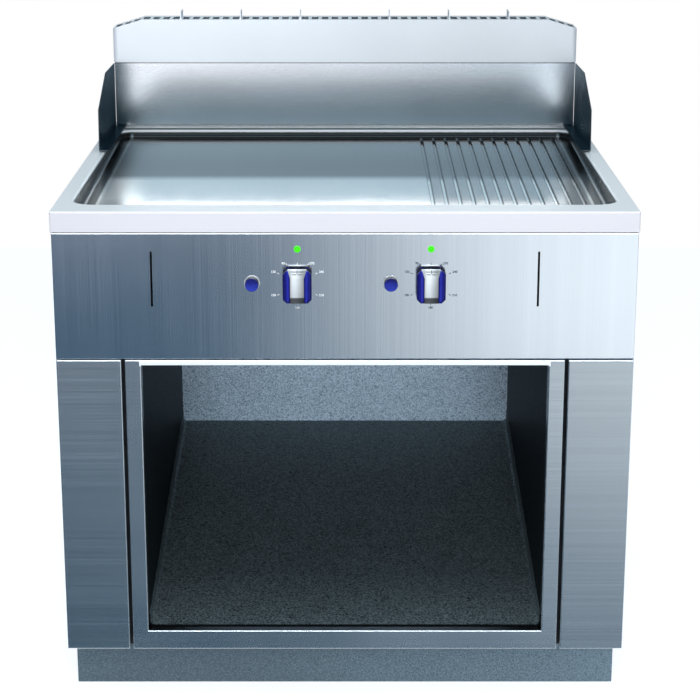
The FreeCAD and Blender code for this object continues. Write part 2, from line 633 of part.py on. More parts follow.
# ---- ignition, lamps and wiring -----------------------------------------------------------
BEZEL_BACK = 24.0
bezels = []
igniters = []
electrodes = []
leads = []
for name in SIDES:
    x = BUTTON_X[name]
    flange = Part.makeCone(BEZEL_R + 0.5, BEZEL_R + 1.1, 2.0, V(x, FRONT_Y - 2.0, BUTTON_Z), V(0, 1, 0))
    tube = rod_y(x, BUTTON_Z, BEZEL_R, FRONT_Y, BEZEL_BACK)
    bezel = fuse([flange, tube])
    bezels.append(bezel.cut(rod_y(x, BUTTON_Z, BUTTON_R + RUN, -10, BEZEL_BACK + 5)))
    body = rod_y(x, BUTTON_Z, BEZEL_R, BEZEL_BACK, 58)
    igniters.append(body.cut(rod_y(x, BUTTON_Z, 3.0 + RUN, BEZEL_BACK - 5, BEZEL_BACK + 10)))
    cap = rod_y(x, BUTTON_Z, BUTTON_R, -13, 14)
    crown = [e for e in cap.Edges if e.BoundBox.YMax < -12.9]
    cap = cap.makeFillet(1.6, crown)
    stem = rod_y(x, BUTTON_Z, 3.0, 13, BEZEL_BACK + 2)
    node("igniter_button_" + name, fuse([cap, stem]))
    route = [(x, 58, BUTTON_Z), (x, 74, BUTTON_Z), (x, 74, SPARK_Z), (x, 104, SPARK_Z)]
    leads.append(bent_rod(route, 1.5, 8.0))
    ceramic = fuse([rod_y(x, SPARK_Z, 5.0, 104, 152), rod_y(x, SPARK_Z, 8.5, 106, BOX_FRONT - 18)])
    electrodes.append(fuse([ceramic, rod_y(x, SPARK_Z, 1.2, 151, 182)]))
node("button_bezels", bezels)
node("igniter_bodies", igniters)
node("ignition_leads", leads)
node("spark_electrodes", electrodes)

probes = []
for name in SIDES:
    xv, xt = KNOB_X[name], PROBE_X[name]
    route = [(xv, 50, KNOB_Z + 18), (xv, 50, PROBE_Z), (xt, 50, PROBE_Z), (xt, 104, PROBE_Z)]
    lead = bent_rod(route, 1.5, 7.0)
    tip = fuse([rod_y(xt, PROBE_Z, 2.5, 104, 190), rod_y(xt, PROBE_Z, 6.0, 106, BOX_FRONT - 18)])
    probes.append(fuse([lead, tip]))
node("thermocouples", probes)

HOLDER_BACK = 28.0
lenses = []
holders = []
for name in SIDES:
    x = KNOB_X[name]
    lens = rod_y(x, LAMP_Z, LENS_R, FRONT_Y - 2.5, 12)
    rim = [e for e in lens.Edges if e.BoundBox.YMax < FRONT_Y - 2.4]
    lenses.append(lens.makeFillet(1.8, rim))
    holder = rod_y(x, LAMP_Z, 8.5, FRONT_Y + SHEET, HOLDER_BACK)
    holders.append(holder.cut(rod_y(x, LAMP_Z, LENS_R + FIT, 0, 12)))
node("indicator_lenses", lenses)
node("lamp_holders", holders)

TERMINAL_X = SIDE_OUT - SHEET - 48
TERMINAL_LOW = LAMP_Z - 54.7
node("terminal_box", box(TERMINAL_X, SIDE_OUT - SHEET, 30, 100, TERMINAL_LOW, TERMINAL_LOW + 65))
wiring = []
for name, y in (("left", 58.0), ("right", 40.0)):
    x = KNOB_X[name]
    wiring.append(bent_rod([(x, HOLDER_BACK, LAMP_Z), (x, y, LAMP_Z), (TERMINAL_X, y, LAMP_Z)], 1.6, 7.0))
wiring.append(bent_rod([(CABLE_X, 80, TERMINAL_LOW), (CABLE_X, 80, CABLE_Z),
                        (CABLE_X, BACK_IN - 5, CABLE_Z)], 4.0, 25.0))
node("wiring", wiring)


# ---- knobs --------------------------------------------------------------------------------
BAR_HALF = 11.6
BAR_FLARE = 16.0
KNOB_CORNER = 6.5


def make_knob(x):
    """Grip of two coloured cheeks with a metal bar let in between them."""
    w, h, c = KNOB_HALF_W, KNOB_HALF_H, KNOB_CORNER
    z = KNOB_Z
    front = -KNOB_REACH + 1.5
    outline = [(-w, -h + c), (-w + c, -h), (w - c, -h), (w, -h + c),
               (w, h - c), (w - c, h), (-w + c, h), (-w, h - c)]
    body = prism([V(x + px, front, z + pz) for px, pz in outline], V(0, KNOB_BACK - front, 0))
    face = [e for e in body.Edges if e.BoundBox.YMax < front + 0.01]
    body = body.makeChamfer(4.5, face)
    bar_outline = [(-BAR_HALF, -h), (BAR_HALF, -h), (BAR_HALF, h - 12), (BAR_FLARE, h), (-BAR_FLARE, h),
                   (-BAR_HALF, h - 12)]
    recess_back = -11.0
    bar = prism([V(x + px, -KNOB_REACH, z + pz) for px, pz in bar_outline], V(0, recess_back + KNOB_REACH, 0))
    body = body.cut(prism([V(x + px, -KNOB_REACH - 1, z + pz) for px, pz in bar_outline],
                          V(0, recess_back + KNOB_REACH + 1, 0)))
    upper = prism([V(x - 40, -KNOB_REACH - 1, z + h - 12), V(x - 40, -KNOB_REACH, z + h - 12),
                   V(x - 40, -KNOB_REACH + 14, z + h + 0.5),
                   V(x - 40, -KNOB_REACH - 1, z + h + 0.5)], V(80, 0, 0))
    lower = prism([V(x - 40, -KNOB_REACH - 1, z - h + 11), V(x - 40, -KNOB_REACH, z - h + 11),
                   V(x - 40, -KNOB_REACH + 5, z - h - 0.5),
                   V(x - 40, -KNOB_REACH - 1, z - h - 0.5)], V(80, 0, 0))
    bar = cut(bar, [upper, lower])
    body = body.cut(d_rod(x, z, SPINDLE_R + RUN, SPINDLE_FLAT + RUN, -12, KNOB_BACK + 5))
    return body, bar


for name in SIDES:
    knob, bar = make_knob(KNOB_X[name])
    node("knob_body_" + name, knob)
    node("knob_bar_" + name, bar)


# ---- splashback and flue ------------------------------------------------------------------
FLANGE = DUCT_FRONT - SPLASH_Y - 1.5
splash = box(-SPLASH_HALF, SPLASH_HALF, SPLASH_Y, DEPTH - 4, TOP_Z, SPLASH_TOP)
splash = splash.cut(box(-SPLASH_HALF + SHEET, SPLASH_HALF - SHEET, SPLASH_Y + SHEET, DEPTH,
                        TOP_Z - 1, SPLASH_TOP - SHEET))
splash = splash.cut(box(-SPLASH_HALF + 20, SPLASH_HALF - 20, SPLASH_Y + FLANGE, DEPTH,
                        TOP_Z - 1, SPLASH_TOP + 1))
node("splash_panel", splash)


def flue_roof(z_offset, thickness):
    """Strip that follows the roof line: level in the middle, falling at both ends."""
    top = [(-HOOD_HALF, FLUE_END), (-FLUE_FLAT_HALF, FLUE_TOP),
           (FLUE_FLAT_HALF, FLUE_TOP), (HOOD_HALF, FLUE_END)]
    upper = [V(x, 0, z + z_offset) for x, z in top]
    lower = [V(x, 0, z + z_offset - thickness) for x, z in reversed(top)]
    return prism(upper + lower, V(0, DEPTH + 10, 0))


HOOD_CORNER = 10.0


def hood_block(inset, z0, z1, y1):
    block = box(-HOOD_HALF + inset, HOOD_HALF - inset, HOOD_Y + inset, y1, z0, z1)
    corner = [e for e in block.Edges
              if abs(e.Vertexes[0].Z - e.Vertexes[-1].Z) > 50 and e.Vertexes[0].Y < HOOD_Y + inset + 1]
    return block.makeFillet(HOOD_CORNER - inset, corner)


REAR_SKIN = DEPTH - SHEET
hood = hood_block(0, SPLASH_TOP, FLUE_TOP + 20, REAR_SKIN)
hood = hood.cut(hood_block(SHEET, SPLASH_TOP + SHEET, FLUE_TOP + 30, REAR_SKIN + 40))
hood = hood.cut(box(-HOOD_HALF + 14, HOOD_HALF - 14, DUCT_FRONT - 1.5, REAR_SKIN + 10,
                    SPLASH_TOP - 1, SPLASH_TOP + 5))
hood = hood.cut(flue_roof(100, 100 + SHEET))
node("flue_hood", hood)

rear_skin = box(-HOOD_HALF, HOOD_HALF, REAR_SKIN, DEPTH, TOP_Z, FLUE_TOP + 20)
rear_skin = rear_skin.cut(flue_roof(100, 100 + SHEET))
node("flue_rear_panel", rear_skin)

grille = flue_roof(0, SHEET).common(hood_block(0, SPLASH_TOP, FLUE_TOP + 20, DEPTH))
SLOT_Y = (DUCT_FRONT + 4, DEPTH - 11)
slots = []
for i in range(FLUE_SLOTS):
    x = (i - (FLUE_SLOTS - 1) / 2) * FLUE_PITCH
    slots.append(box(x - FLUE_SLOT_W / 2, x + FLUE_SLOT_W / 2, SLOT_Y[0], SLOT_Y[1],
                     SPLASH_TOP, FLUE_TOP + 5))
for k in range(3):
    for s in (-1, 1):
        x = s * (FLUE_FLAT_HALF + 13 + 18.8 * k)
        slots.append(box(x - 6.2, x + 6.2, SLOT_Y[0], SLOT_Y[1], SPLASH_TOP, FLUE_TOP + 5))
node("flue_grille", cut(grille, slots))
dividers = []
for k in (4.5, 10.5, 16.5):
    x = k * FLUE_PITCH
    dividers += both(box(x - 0.75, x + 0.75, SLOT_Y[0], SLOT_Y[1], FLUE_TOP, FLUE_TOP + 15))
node("flue_dividers", dividers)


# ---- side guards --------------------------------------------------------------------------
GUARD_SHEET = 2.0
GUARD_LENGTH = 293.0
GUARD_PAD = 2.5


def make_guard():
    """Upright plate on a foot flange; three pads hold the flange just above the worktop."""
    outer = HOOD_HALF
    inner = outer - GUARD_SHEET
    foot = outer - 21
    back = SPLASH_Y - 1.5
    front = SPLASH_Y - GUARD_LENGTH
    foot_z = TOP_Z + GUARD_PAD
    outline = [(front, foot_z), (front + 7, TOP_Z + 82), (SPLASH_Y - 153, SPLASH_TOP - 0.5),
               (back, SPLASH_TOP - 2), (back, foot_z)]
    sheet = prism([V(inner, y, z) for y, z in outline], V(outer - inner, 0, 0))
    flange = box(foot, outer, front, back, foot_z, foot_z + GUARD_SHEET)
    pads = [box(outer - 6, outer, front + d, front + d + 16, TOP_Z, foot_z) for d in (13.0, 138.0, 263.0)]
    return fuse([sheet, flange] + pads)


guard = make_guard()
node("guard_right", guard)
node("guard_left", mirror(guard))


# ---- drain and grease collector -----------------------------------------------------------
SPOUT_TOP = PLATE_FRONT_Z - 24
SPOUT_TURN = OPEN_HIGH + 21.5
SPOUT_MOUTH = OPEN_HIGH - 16.5


def spout_path(r, extra):
    """Down from the plate, back over the cavity and down again into the collector."""
    return bent_rod([(0, DRAIN_Y, SPOUT_TOP + extra), (0, DRAIN_Y, SPOUT_TURN),
                     (0, SPOUT_END_Y, SPOUT_TURN - 3),
                     (0, SPOUT_END_Y, SPOUT_MOUTH - extra)], r, 22.0)


spout = spout_path(SPOUT_R, 0)
funnel = rod_z(0, DRAIN_Y, DRAIN_R + 8, SPOUT_TOP - 6, PLATE_FRONT_Z + 4).cut(tilted_slab(-PLATE_THICK, 60))
spout = fuse([spout, funnel])
spout = spout.cut(spout_path(SPOUT_BORE, 1))
spout = spout.cut(Part.makeCone(SPOUT_BORE, DRAIN_R + 2, 14, V(0, DRAIN_Y, SPOUT_TOP - 4)))
node("drain_spout", spout)

TRAY_HALF = 100.0
TRAY_Y = (235.0, 535.0)
RUNNER_Y = (110.0, TRAY_Y[1] + 10)
LEDGE_TOP = OPEN_HIGH - 20.5
TRAY_LOW = LEDGE_TOP - 40
LIP_Z = LEDGE_TOP + 0.2
tray = folded(-TRAY_HALF, TRAY_HALF, TRAY_Y[0], TRAY_Y[1], TRAY_LOW, LIP_Z + THIN, THIN, "+z")
lips = both(box(TRAY_HALF - THIN, TRAY_HALF + 12, TRAY_Y[0], TRAY_Y[1], LIP_Z, LIP_Z + THIN))
PULL_Z = LEDGE_TOP - 14
pull = box(-45, 45, TRAY_Y[0] - 14, TRAY_Y[0] + 0.5, PULL_Z, PULL_Z + THIN)
pull_edge = box(-45, 45, TRAY_Y[0] - 14, TRAY_Y[0] - 14 + THIN, PULL_Z - 14, PULL_Z)
node("grease_collector", fuse([tray] + lips + [pull, pull_edge]))
web_x = TRAY_HALF + 12 + 2 * GAP
ledge = box(TRAY_HALF + 2, web_x + THIN, RUNNER_Y[0], RUNNER_Y[1], LEDGE_TOP - SHEET, LEDGE_TOP)
web = box(web_x, web_x + THIN, RUNNER_Y[0], RUNNER_Y[1], LEDGE_TOP - SHEET, OPEN_HIGH)
stop = box(TRAY_HALF + 2, web_x + THIN, RUNNER_Y[1] - SHEET, RUNNER_Y[1], LEDGE_TOP - SHEET, OPEN_HIGH)
foot = box(web_x, web_x + 14, RUNNER_Y[0], RUNNER_Y[1], OPEN_HIGH - SHEET, OPEN_HIGH)
node("collector_runners", both(fuse([ledge, web, stop, foot])))
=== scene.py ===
# %% [markdown]
# # A restaurant griddle, dressed for its portrait
# The solid parts of the griddle already exist: a CAD program made them at their real size, and this
# notebook loads them as a fixed frame. What is left is everything that the eye judges: how brushed
# steel, mirror chrome, blue plastic and printed dial marks catch the light. We never move a CAD part.
# We give it a finish, or we add a piece that sits exactly where the frame says it should.

import math

import bmesh
import bpy
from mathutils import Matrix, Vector


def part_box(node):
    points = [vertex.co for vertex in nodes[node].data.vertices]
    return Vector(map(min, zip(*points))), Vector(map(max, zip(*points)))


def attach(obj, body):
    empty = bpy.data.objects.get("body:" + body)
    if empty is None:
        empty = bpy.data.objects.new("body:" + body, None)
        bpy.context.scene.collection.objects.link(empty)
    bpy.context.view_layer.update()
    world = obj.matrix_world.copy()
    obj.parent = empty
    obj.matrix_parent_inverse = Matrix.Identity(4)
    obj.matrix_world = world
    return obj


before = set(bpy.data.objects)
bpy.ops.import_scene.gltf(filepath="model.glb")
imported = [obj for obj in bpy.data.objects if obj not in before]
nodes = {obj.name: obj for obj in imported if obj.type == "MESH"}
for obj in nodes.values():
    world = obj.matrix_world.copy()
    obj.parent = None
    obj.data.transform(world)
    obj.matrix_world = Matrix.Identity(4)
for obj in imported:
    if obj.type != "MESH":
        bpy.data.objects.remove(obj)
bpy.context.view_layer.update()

# %% [markdown]
# ## Writing shader maths as ordinary expressions
# A procedural finish is a small formula: streaks times strength plus a base level. In the node editor
# each plus and times is a box with wires. Building those boxes by hand in Python is long and hard to
# read, so one small class wraps a socket and overloads the operators. `1 - mask * 0.5` then adds its
# own Math nodes. Everything else (noises, ramps, bumps) comes from one method, `Finish.node`.


# %% A wire that understands arithmetic
class Wire:
    def __init__(self, finish, socket):
        self.finish = finish
        self.socket = socket

    def maths(self, operation, left, right):
        return self.finish.node("ShaderNodeMath", {"operation": operation}, {0: left, 1: right})["Value"]

    def __add__(self, other):
        return self.maths("ADD", self, other)

    __radd__ = __add__

    def __sub__(self, other):
        return self.maths("SUBTRACT", self, other)

    def __rsub__(self, other):
        return self.maths("SUBTRACT", other, self)

    def __mul__(self, other):
        return self.maths("MULTIPLY", self, other)

    __rmul__ = __mul__

    def __abs__(self):
        return self.maths("ABSOLUTE", self, 0.0)

    def __lt__(self, other):
        return self.maths("LESS_THAN", self, other)

    def __gt__(self, other):
        return self.maths("GREATER_THAN", self, other)


class Finish:
    """One material: its nodes are added in the order in which the recipe is written."""

    def __init__(self, name):
        self.material = bpy.data.materials.new(name)
        self.material.use_nodes = True
        self.tree = self.material.node_tree
        self.shader = self.tree.nodes["Principled BSDF"]

    def node(self, kind, settings=None, inputs=None):
        made = self.tree.nodes.new(kind)
        for key, value in (settings or {}).items():
            setattr(made, key, value)
        for key, value in (inputs or {}).items():
            self.feed(made.inputs[key], value)
        return Outputs(self, made)

    def feed(self, socket, value):
        if isinstance(value, Wire):
            self.tree.links.new(value.socket, socket)
        else:
            socket.default_value = value

    def set(self, **values):
        """Sockets of the Principled shader, by name with _ for each space."""
        for key, value in values.items():
            self.feed(self.shader.inputs[key.replace("_", " ")], value)
        return self

    def place(self, scale=(1, 1, 1)):
        """Object coordinates, scaled so that a noise can be stretched along one direction."""
        where = self.node("ShaderNodeTexCoord")["Object"]
        return self.node("ShaderNodeMapping", {}, {"Vector": where, "Scale": scale})["Vector"]

    def axes(self):
        """The three object coordinates, as separate values in metres."""
        where = self.node("ShaderNodeTexCoord")["Object"]
        parts = self.node("ShaderNodeSeparateXYZ", {}, {"Vector": where})
        return parts["X"], parts["Y"], parts["Z"]

    def noise(self, vector, scale, detail=2.0, roughness=0.5):
        return self.node("ShaderNodeTexNoise", {}, {"Vector": vector, "Scale": scale, "Detail": detail,
                                                    "Roughness": roughness})["Fac"]

    def level(self, value, low, high, to_low=0.0, to_high=1.0):
        """The value from low..high mapped to to_low..to_high, and held at both ends."""
        return self.node("ShaderNodeMapRange", {"clamp": True},
                         {"Value": value, "From Min": low, "From Max": high, "To Min": to_low,
                          "To Max": to_high})["Result"]

    def tint(self, factor, dark, light):
        """A colour between two colours; each can be a tuple or a wire."""
        dark = dark if isinstance(dark, Wire) else (*dark, 1.0)
        light = light if isinstance(light, Wire) else (*light, 1.0)
        return self.node("ShaderNodeMix", {"data_type": "RGBA"}, {"Factor": factor, 6: dark, 7: light})[2]

    def times(self, colour, factor):
        """A colour made brighter or darker by a value."""
        return self.node("ShaderNodeVectorMath", {"operation": "SCALE"},
                         {"Vector": colour, "Scale": factor})["Vector"]

    def band(self, value, low, high, soft):
        """1 between low and high, falling to 0 over a soft margin outside."""
        return self.level(value, low - soft, low) * self.level(value, high, high + soft, 1.0, 0.0)

    def bump(self, height, strength, distance=0.001):
        return self.node("ShaderNodeBump", {}, {"Height": height, "Strength": strength,
                                                "Distance": distance})["Normal"]


class Outputs:
    def __init__(self, finish, made):
        self.finish = finish
        self.made = made

    def __getitem__(self, key):
        return Wire(self.finish, self.made.outputs[key])


print("shader helpers ready")

# %% [markdown]
# ## Brushed stainless steel
# Most of the griddle is folded stainless sheet. It is brushed in one direction at the mill, so its
# scratches are very long and very thin. They show in three ways: faint lighter and darker streaks, a
# sheen that is rougher across the scratches, and a tiny relief. One function makes all the brushed
# finishes; only the brushing direction, the brightness and the roughness change. A noise stretched a
# hundred times along the grain gives the scratches, and a second, wide noise gives the slow
# cloudiness that keeps a large sheet from looking like flat paint.


# %% Brushed sheet
def brushed(name, along, colour, roughness, streak=0.06, cloud=0.04):
    """along is the grain's axis: 'x', 'y' or 'z'."""
    finish = Finish(name)
    long_way, short_way = 1.2, 420.0
    stretch = tuple(long_way if axis == along else short_way for axis in "xyz")
    fine = finish.noise(finish.place(stretch), 1.0, 3.0, 0.6)
    band_stretch = tuple(0.35 if axis == along else 46.0 for axis in "xyz")
    bands = finish.noise(finish.place(band_stretch), 1.0, 2.0, 0.5)
    wide = finish.noise(finish.place(), 3.1, 3.0, 0.55)
    shade = finish.level(fine * 0.45 + bands * 0.35 + wide * 0.2, 0.35, 0.65)
    dark = tuple(c * (1 - streak - cloud) for c in colour)
    light = tuple(min(1.0, c * (1 + streak * 0.6)) for c in colour)
    rough = finish.level(fine * 0.6 + wide * 0.4, 0.3, 0.7, roughness * 0.88, roughness * 1.14)
    finish.set(Base_Color=finish.tint(shade, dark, light), Metallic=1.0, Roughness=rough,
               Normal=finish.bump(fine, 0.05, 0.0004))
    return finish.material


def frame_finish():
    """Like the covers; its upper strip is a painted highlight, and behind its face is painted shade."""
    finish = Finish("frame_steel")
    x, y, z = finish.axes()
    fine = finish.noise(finish.place((1.2, 420.0, 420.0)), 1.0, 3.0, 0.6)
    wide = finish.noise(finish.place(), 3.1, 3.0, 0.55)
    shade = finish.level(fine * 0.7 + wide * 0.3, 0.35, 0.65)
    # Painted highlight: above the opening the frame is near-white and barely metallic, so it shows bright.
    strip = finish.band(z, OPENING_TOP - 0.001, FRAME_TOP - 0.0015, 0.0006) * (abs(x) < OPENING_SIDE + 0.003)
    skin = finish.tint(shade, (0.56, 0.61, 0.65), (0.64, 0.69, 0.73))
    # Painted shade: behind its front face the frame is darkened to a tenth, as shade in the gaps.
    skin = finish.times(skin, finish.level(y, FRAME_FACE + 0.0022, FRAME_FACE + 0.0030, 1.0, 0.10))
    finish.set(Base_Color=finish.tint(strip, skin, (0.90, 0.92, 0.94)), Metallic=1 - strip * 0.9,
               Roughness=finish.level(wide, 0.3, 0.7, 0.21, 0.27), Normal=finish.bump(fine, 0.05, 0.0004))
    return finish.material


FRAME_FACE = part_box("opening_frame")[0].y
FRAME_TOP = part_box("opening_frame")[1].z
OPENING_TOP = FRAME_TOP - 0.010
OPENING_SIDE = 0.352
frame_steel = frame_finish()
panel_steel = brushed("panel_steel_upright_grain", "z", (0.765, 0.815, 0.875), 0.15, streak=0.05, cloud=0.02)
cover_steel = brushed("cover_steel_level_grain", "x", (0.60, 0.65, 0.69), 0.24, streak=0.08, cloud=0.04)
side_steel = brushed("side_steel_level_grain", "y", (0.78, 0.80, 0.83), 0.36)
cavity_steel = brushed("cavity_steel", "y", (0.60, 0.64, 0.66), 0.38, streak=0.05)
print("brushed finishes ready")

# %% [markdown]
# ## Fine-grained sheet behind and beside the plate
# The splashback is matt from years of wiping: its grain is a fine mottle without direction. Its foot
# is painted dark as shade where it meets the worktop, its face is painted lighter towards the top,
# and its top edge is painted dark as shade. The side guards are painted much darker as shade, and
# the three pads under their feet are painted black as shade.


# %% Splashback and guards
def splash_finish():
    finish = Finish("splash_steel_fine_grain")
    x, y, z = finish.axes()
    mottle = finish.noise(finish.place(), 380.0, 2.0, 0.75)
    wide = finish.noise(finish.place(), 3.1, 3.0, 0.55)
    shade = finish.level(mottle * 0.85 + wide * 0.15, 0.32, 0.68)
    skin = finish.tint(shade, (0.60, 0.65, 0.68), (0.84, 0.87, 0.90))
    # Painted shade: the lowest few millimetres, where the splashback meets the worktop, are darkened.
    foot = finish.level(z, SPLASH_FOOT + 0.0060, SPLASH_FOOT + 0.0085, 0.42, 1.0)
    # Painted light: the face grows lighter towards the top.
    foot = foot * finish.level(z, SPLASH_FOOT + 0.050, SPLASH_HEAD - 0.030, 0.96, 1.16)
    # Painted shade: the top edge is darkened.
    head = finish.level(z, SPLASH_HEAD - 0.0030, SPLASH_HEAD - 0.0014, 1.0, 0.35)
    finish.set(Base_Color=finish.times(skin, foot * head), Metallic=1.0,
               Roughness=finish.level(wide, 0.3, 0.7, 0.17, 0.22), Normal=finish.bump(mottle, 0.04, 0.0004))
    return finish.material


def guard_finish():
    finish = Finish("guard_steel_painted_shade")
    x, y, z = finish.axes()
    mottle = finish.noise(finish.place(), 380.0, 2.0, 0.75)
    wide = finish.noise(finish.place(), 3.1, 3.0, 0.55)
    shade = finish.level(mottle * 0.7 + wide * 0.3, 0.32, 0.68)
    # Painted shade: the guards' steel is made far darker than the other sheet, as the shade they stand in.
    skin = finish.tint(shade, (0.034, 0.048, 0.057), (0.080, 0.102, 0.118))
    # Painted shade: the pads under the feet are painted black, as the shadow under the feet.
    pad = finish.level(z, SPLASH_FOOT + 0.0022, SPLASH_FOOT + 0.0026, 0.08, 1.0)
    finish.set(Base_Color=finish.times(skin, pad), Metallic=1.0, Specular_Tint=(0.42, 0.51, 0.57, 1.0),
               Roughness=finish.level(wide, 0.3, 0.7, 0.26, 0.34), Normal=finish.bump(mottle, 0.05, 0.0004))
    return finish.material


SPLASH_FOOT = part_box("splash_panel")[0].z
SPLASH_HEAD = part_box("splash_panel")[1].z
splash_steel = splash_finish()
guard_steel = guard_finish()
print("splashback and guards ready")

# %% [markdown]
# ## Satin worktop and flue box
# The worktop and the flue box have a finer, almost white satin finish. Fine glass-bead blasting leaves
# no direction, so its noise isn't stretched. The result is brighter and softer than the brushed sheet.
# The worktop needs a recipe of its own, because one folded sheet carries several finishes and painted
# shade: satin on the rim, a polished wall where the well is drawn down that is painted dark as shade,
# with a painted highlight along its crease, a band behind the well painted dark as shade, and a skirt
# face painted a little darker and pinker as shade.


# %% Satin sheet
def satin(name, colour, roughness, metallic, grain=0.03):
    finish = Finish(name)
    x, y, z = finish.axes()
    fine = finish.noise(finish.place(), 900.0, 2.0, 0.6)
    wide = finish.noise(finish.place(), 2.3, 4.0, 0.6)
    shade = finish.level(fine * 0.4 + wide * 0.6, 0.35, 0.65)
    dark = tuple(c * (1 - grain) for c in colour)
    rough = finish.level(wide, 0.3, 0.7, roughness * 0.9, roughness * 1.1)
    # Painted light: the sheet is made lighter towards its left end.
    painted_light_left = finish.level(x, -0.45, 0.30, 1.16, 0.93)
    skin = finish.times(finish.tint(shade, dark, colour), painted_light_left)
    finish.set(Base_Color=skin, Metallic=metallic, Roughness=rough, Normal=finish.bump(fine, 0.04, 0.0002))
    return finish.material


def worktop_finish():
    """Satin sheet whose deep-drawn well has a polished wall, painted dark as shade."""
    finish = Finish("worktop_satin")
    x, y, z = finish.axes()
    where = finish.place()
    fine = finish.noise(where, 900.0, 2.0, 0.6)
    grit = finish.noise(where, 420.0, 2.0, 0.7)
    wide = finish.noise(where, 2.3, 4.0, 0.6)
    shade = finish.level(fine * 0.3 + grit * 0.3 + wide * 0.4, 0.35, 0.65)
    skin = finish.tint(shade, (0.81, 0.825, 0.84), (0.885, 0.895, 0.905))
    # Painted shade: the skirt's front face is made a little darker and pinker than the rim.
    skin = finish.tint(y < SKIRT_FACE, skin, (0.785, 0.755, 0.790))
    inside = (abs(x) < WELL_SIDE) * (abs(y - WELL_MIDDLE) < WELL_REACH)
    # Painted shade: the well's wall below the rim is darkened to under a tenth; it is also a little smoother.
    wall = inside * finish.level(z, RIM_Z - 0.0038, RIM_Z - 0.0016, 1.0, 0.0)
    # Painted highlight: a lighter line along the crease in the wall.
    crease = finish.band(z, RIM_Z - 0.0085, RIM_Z - 0.0075, 0.0006)
    crease = crease * (abs(x) < WELL_SIDE - 0.030)
    # Painted shade: the band of rim between the well and the splashback is darkened.
    strip = finish.band(y, *SHADED_BAND_BEHIND_WELL, 0.0015) * (abs(x) < WELL_SIDE) * (z > RIM_Z - 0.0008)
    shadow = (1 - wall * (0.93 - crease * 0.55)) * (1 - strip * 0.72)
    finish.set(Base_Color=finish.times(skin, shadow), Metallic=0.35,
               Roughness=finish.level(wide, 0.3, 0.7, 0.32, 0.40) - wall * 0.10,
               Specular_Tint=(0.6, 0.6, 0.6, 1.0), Normal=finish.bump(fine, 0.04, 0.0002))
    return finish.material


RIM_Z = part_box("worktop")[1].z
SKIRT_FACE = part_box("worktop")[0].y + 0.001
WELL_SIDE = 0.4745
WELL_MIDDLE = -0.010
WELL_REACH = 0.3840
SHADED_BAND_BEHIND_WELL = (0.3785, 0.3985)
worktop_satin = worktop_finish()
flue_satin = satin("flue_box_satin", (0.70, 0.73, 0.76), 0.34, 0.60)
print("satin finishes ready")

# %% [markdown]
# ## The chromed plate
# The cooking plate is hard-chromed and polished: nearly a mirror, with the faintest haze from cleaning
# in long strokes from back to front. A mirror with constant roughness looks like computer chrome, so
# the roughness drifts between very low and low, in stretched patches, and the surface has a whisper
# of waviness that bends the reflection of the splashback. Its colour also carries painted light: a
# painted reflection makes the plate bright and warm in front of the burners and dim over them,
# painted highlights run along each groove's middle and just inside its flanks, and painted shade
# darkens each groove's edges, its front edge, its flanks and the cove around the plate.


# %% Mirror chrome
GROOVE_FIRST = 0.1586
GROOVE_PITCH = 0.0247
GROOVES = 12
PLATE_FRONT = (-0.389, 0.866)
PLATE_SLOPE = 0.0264
FLANK = 0.4475


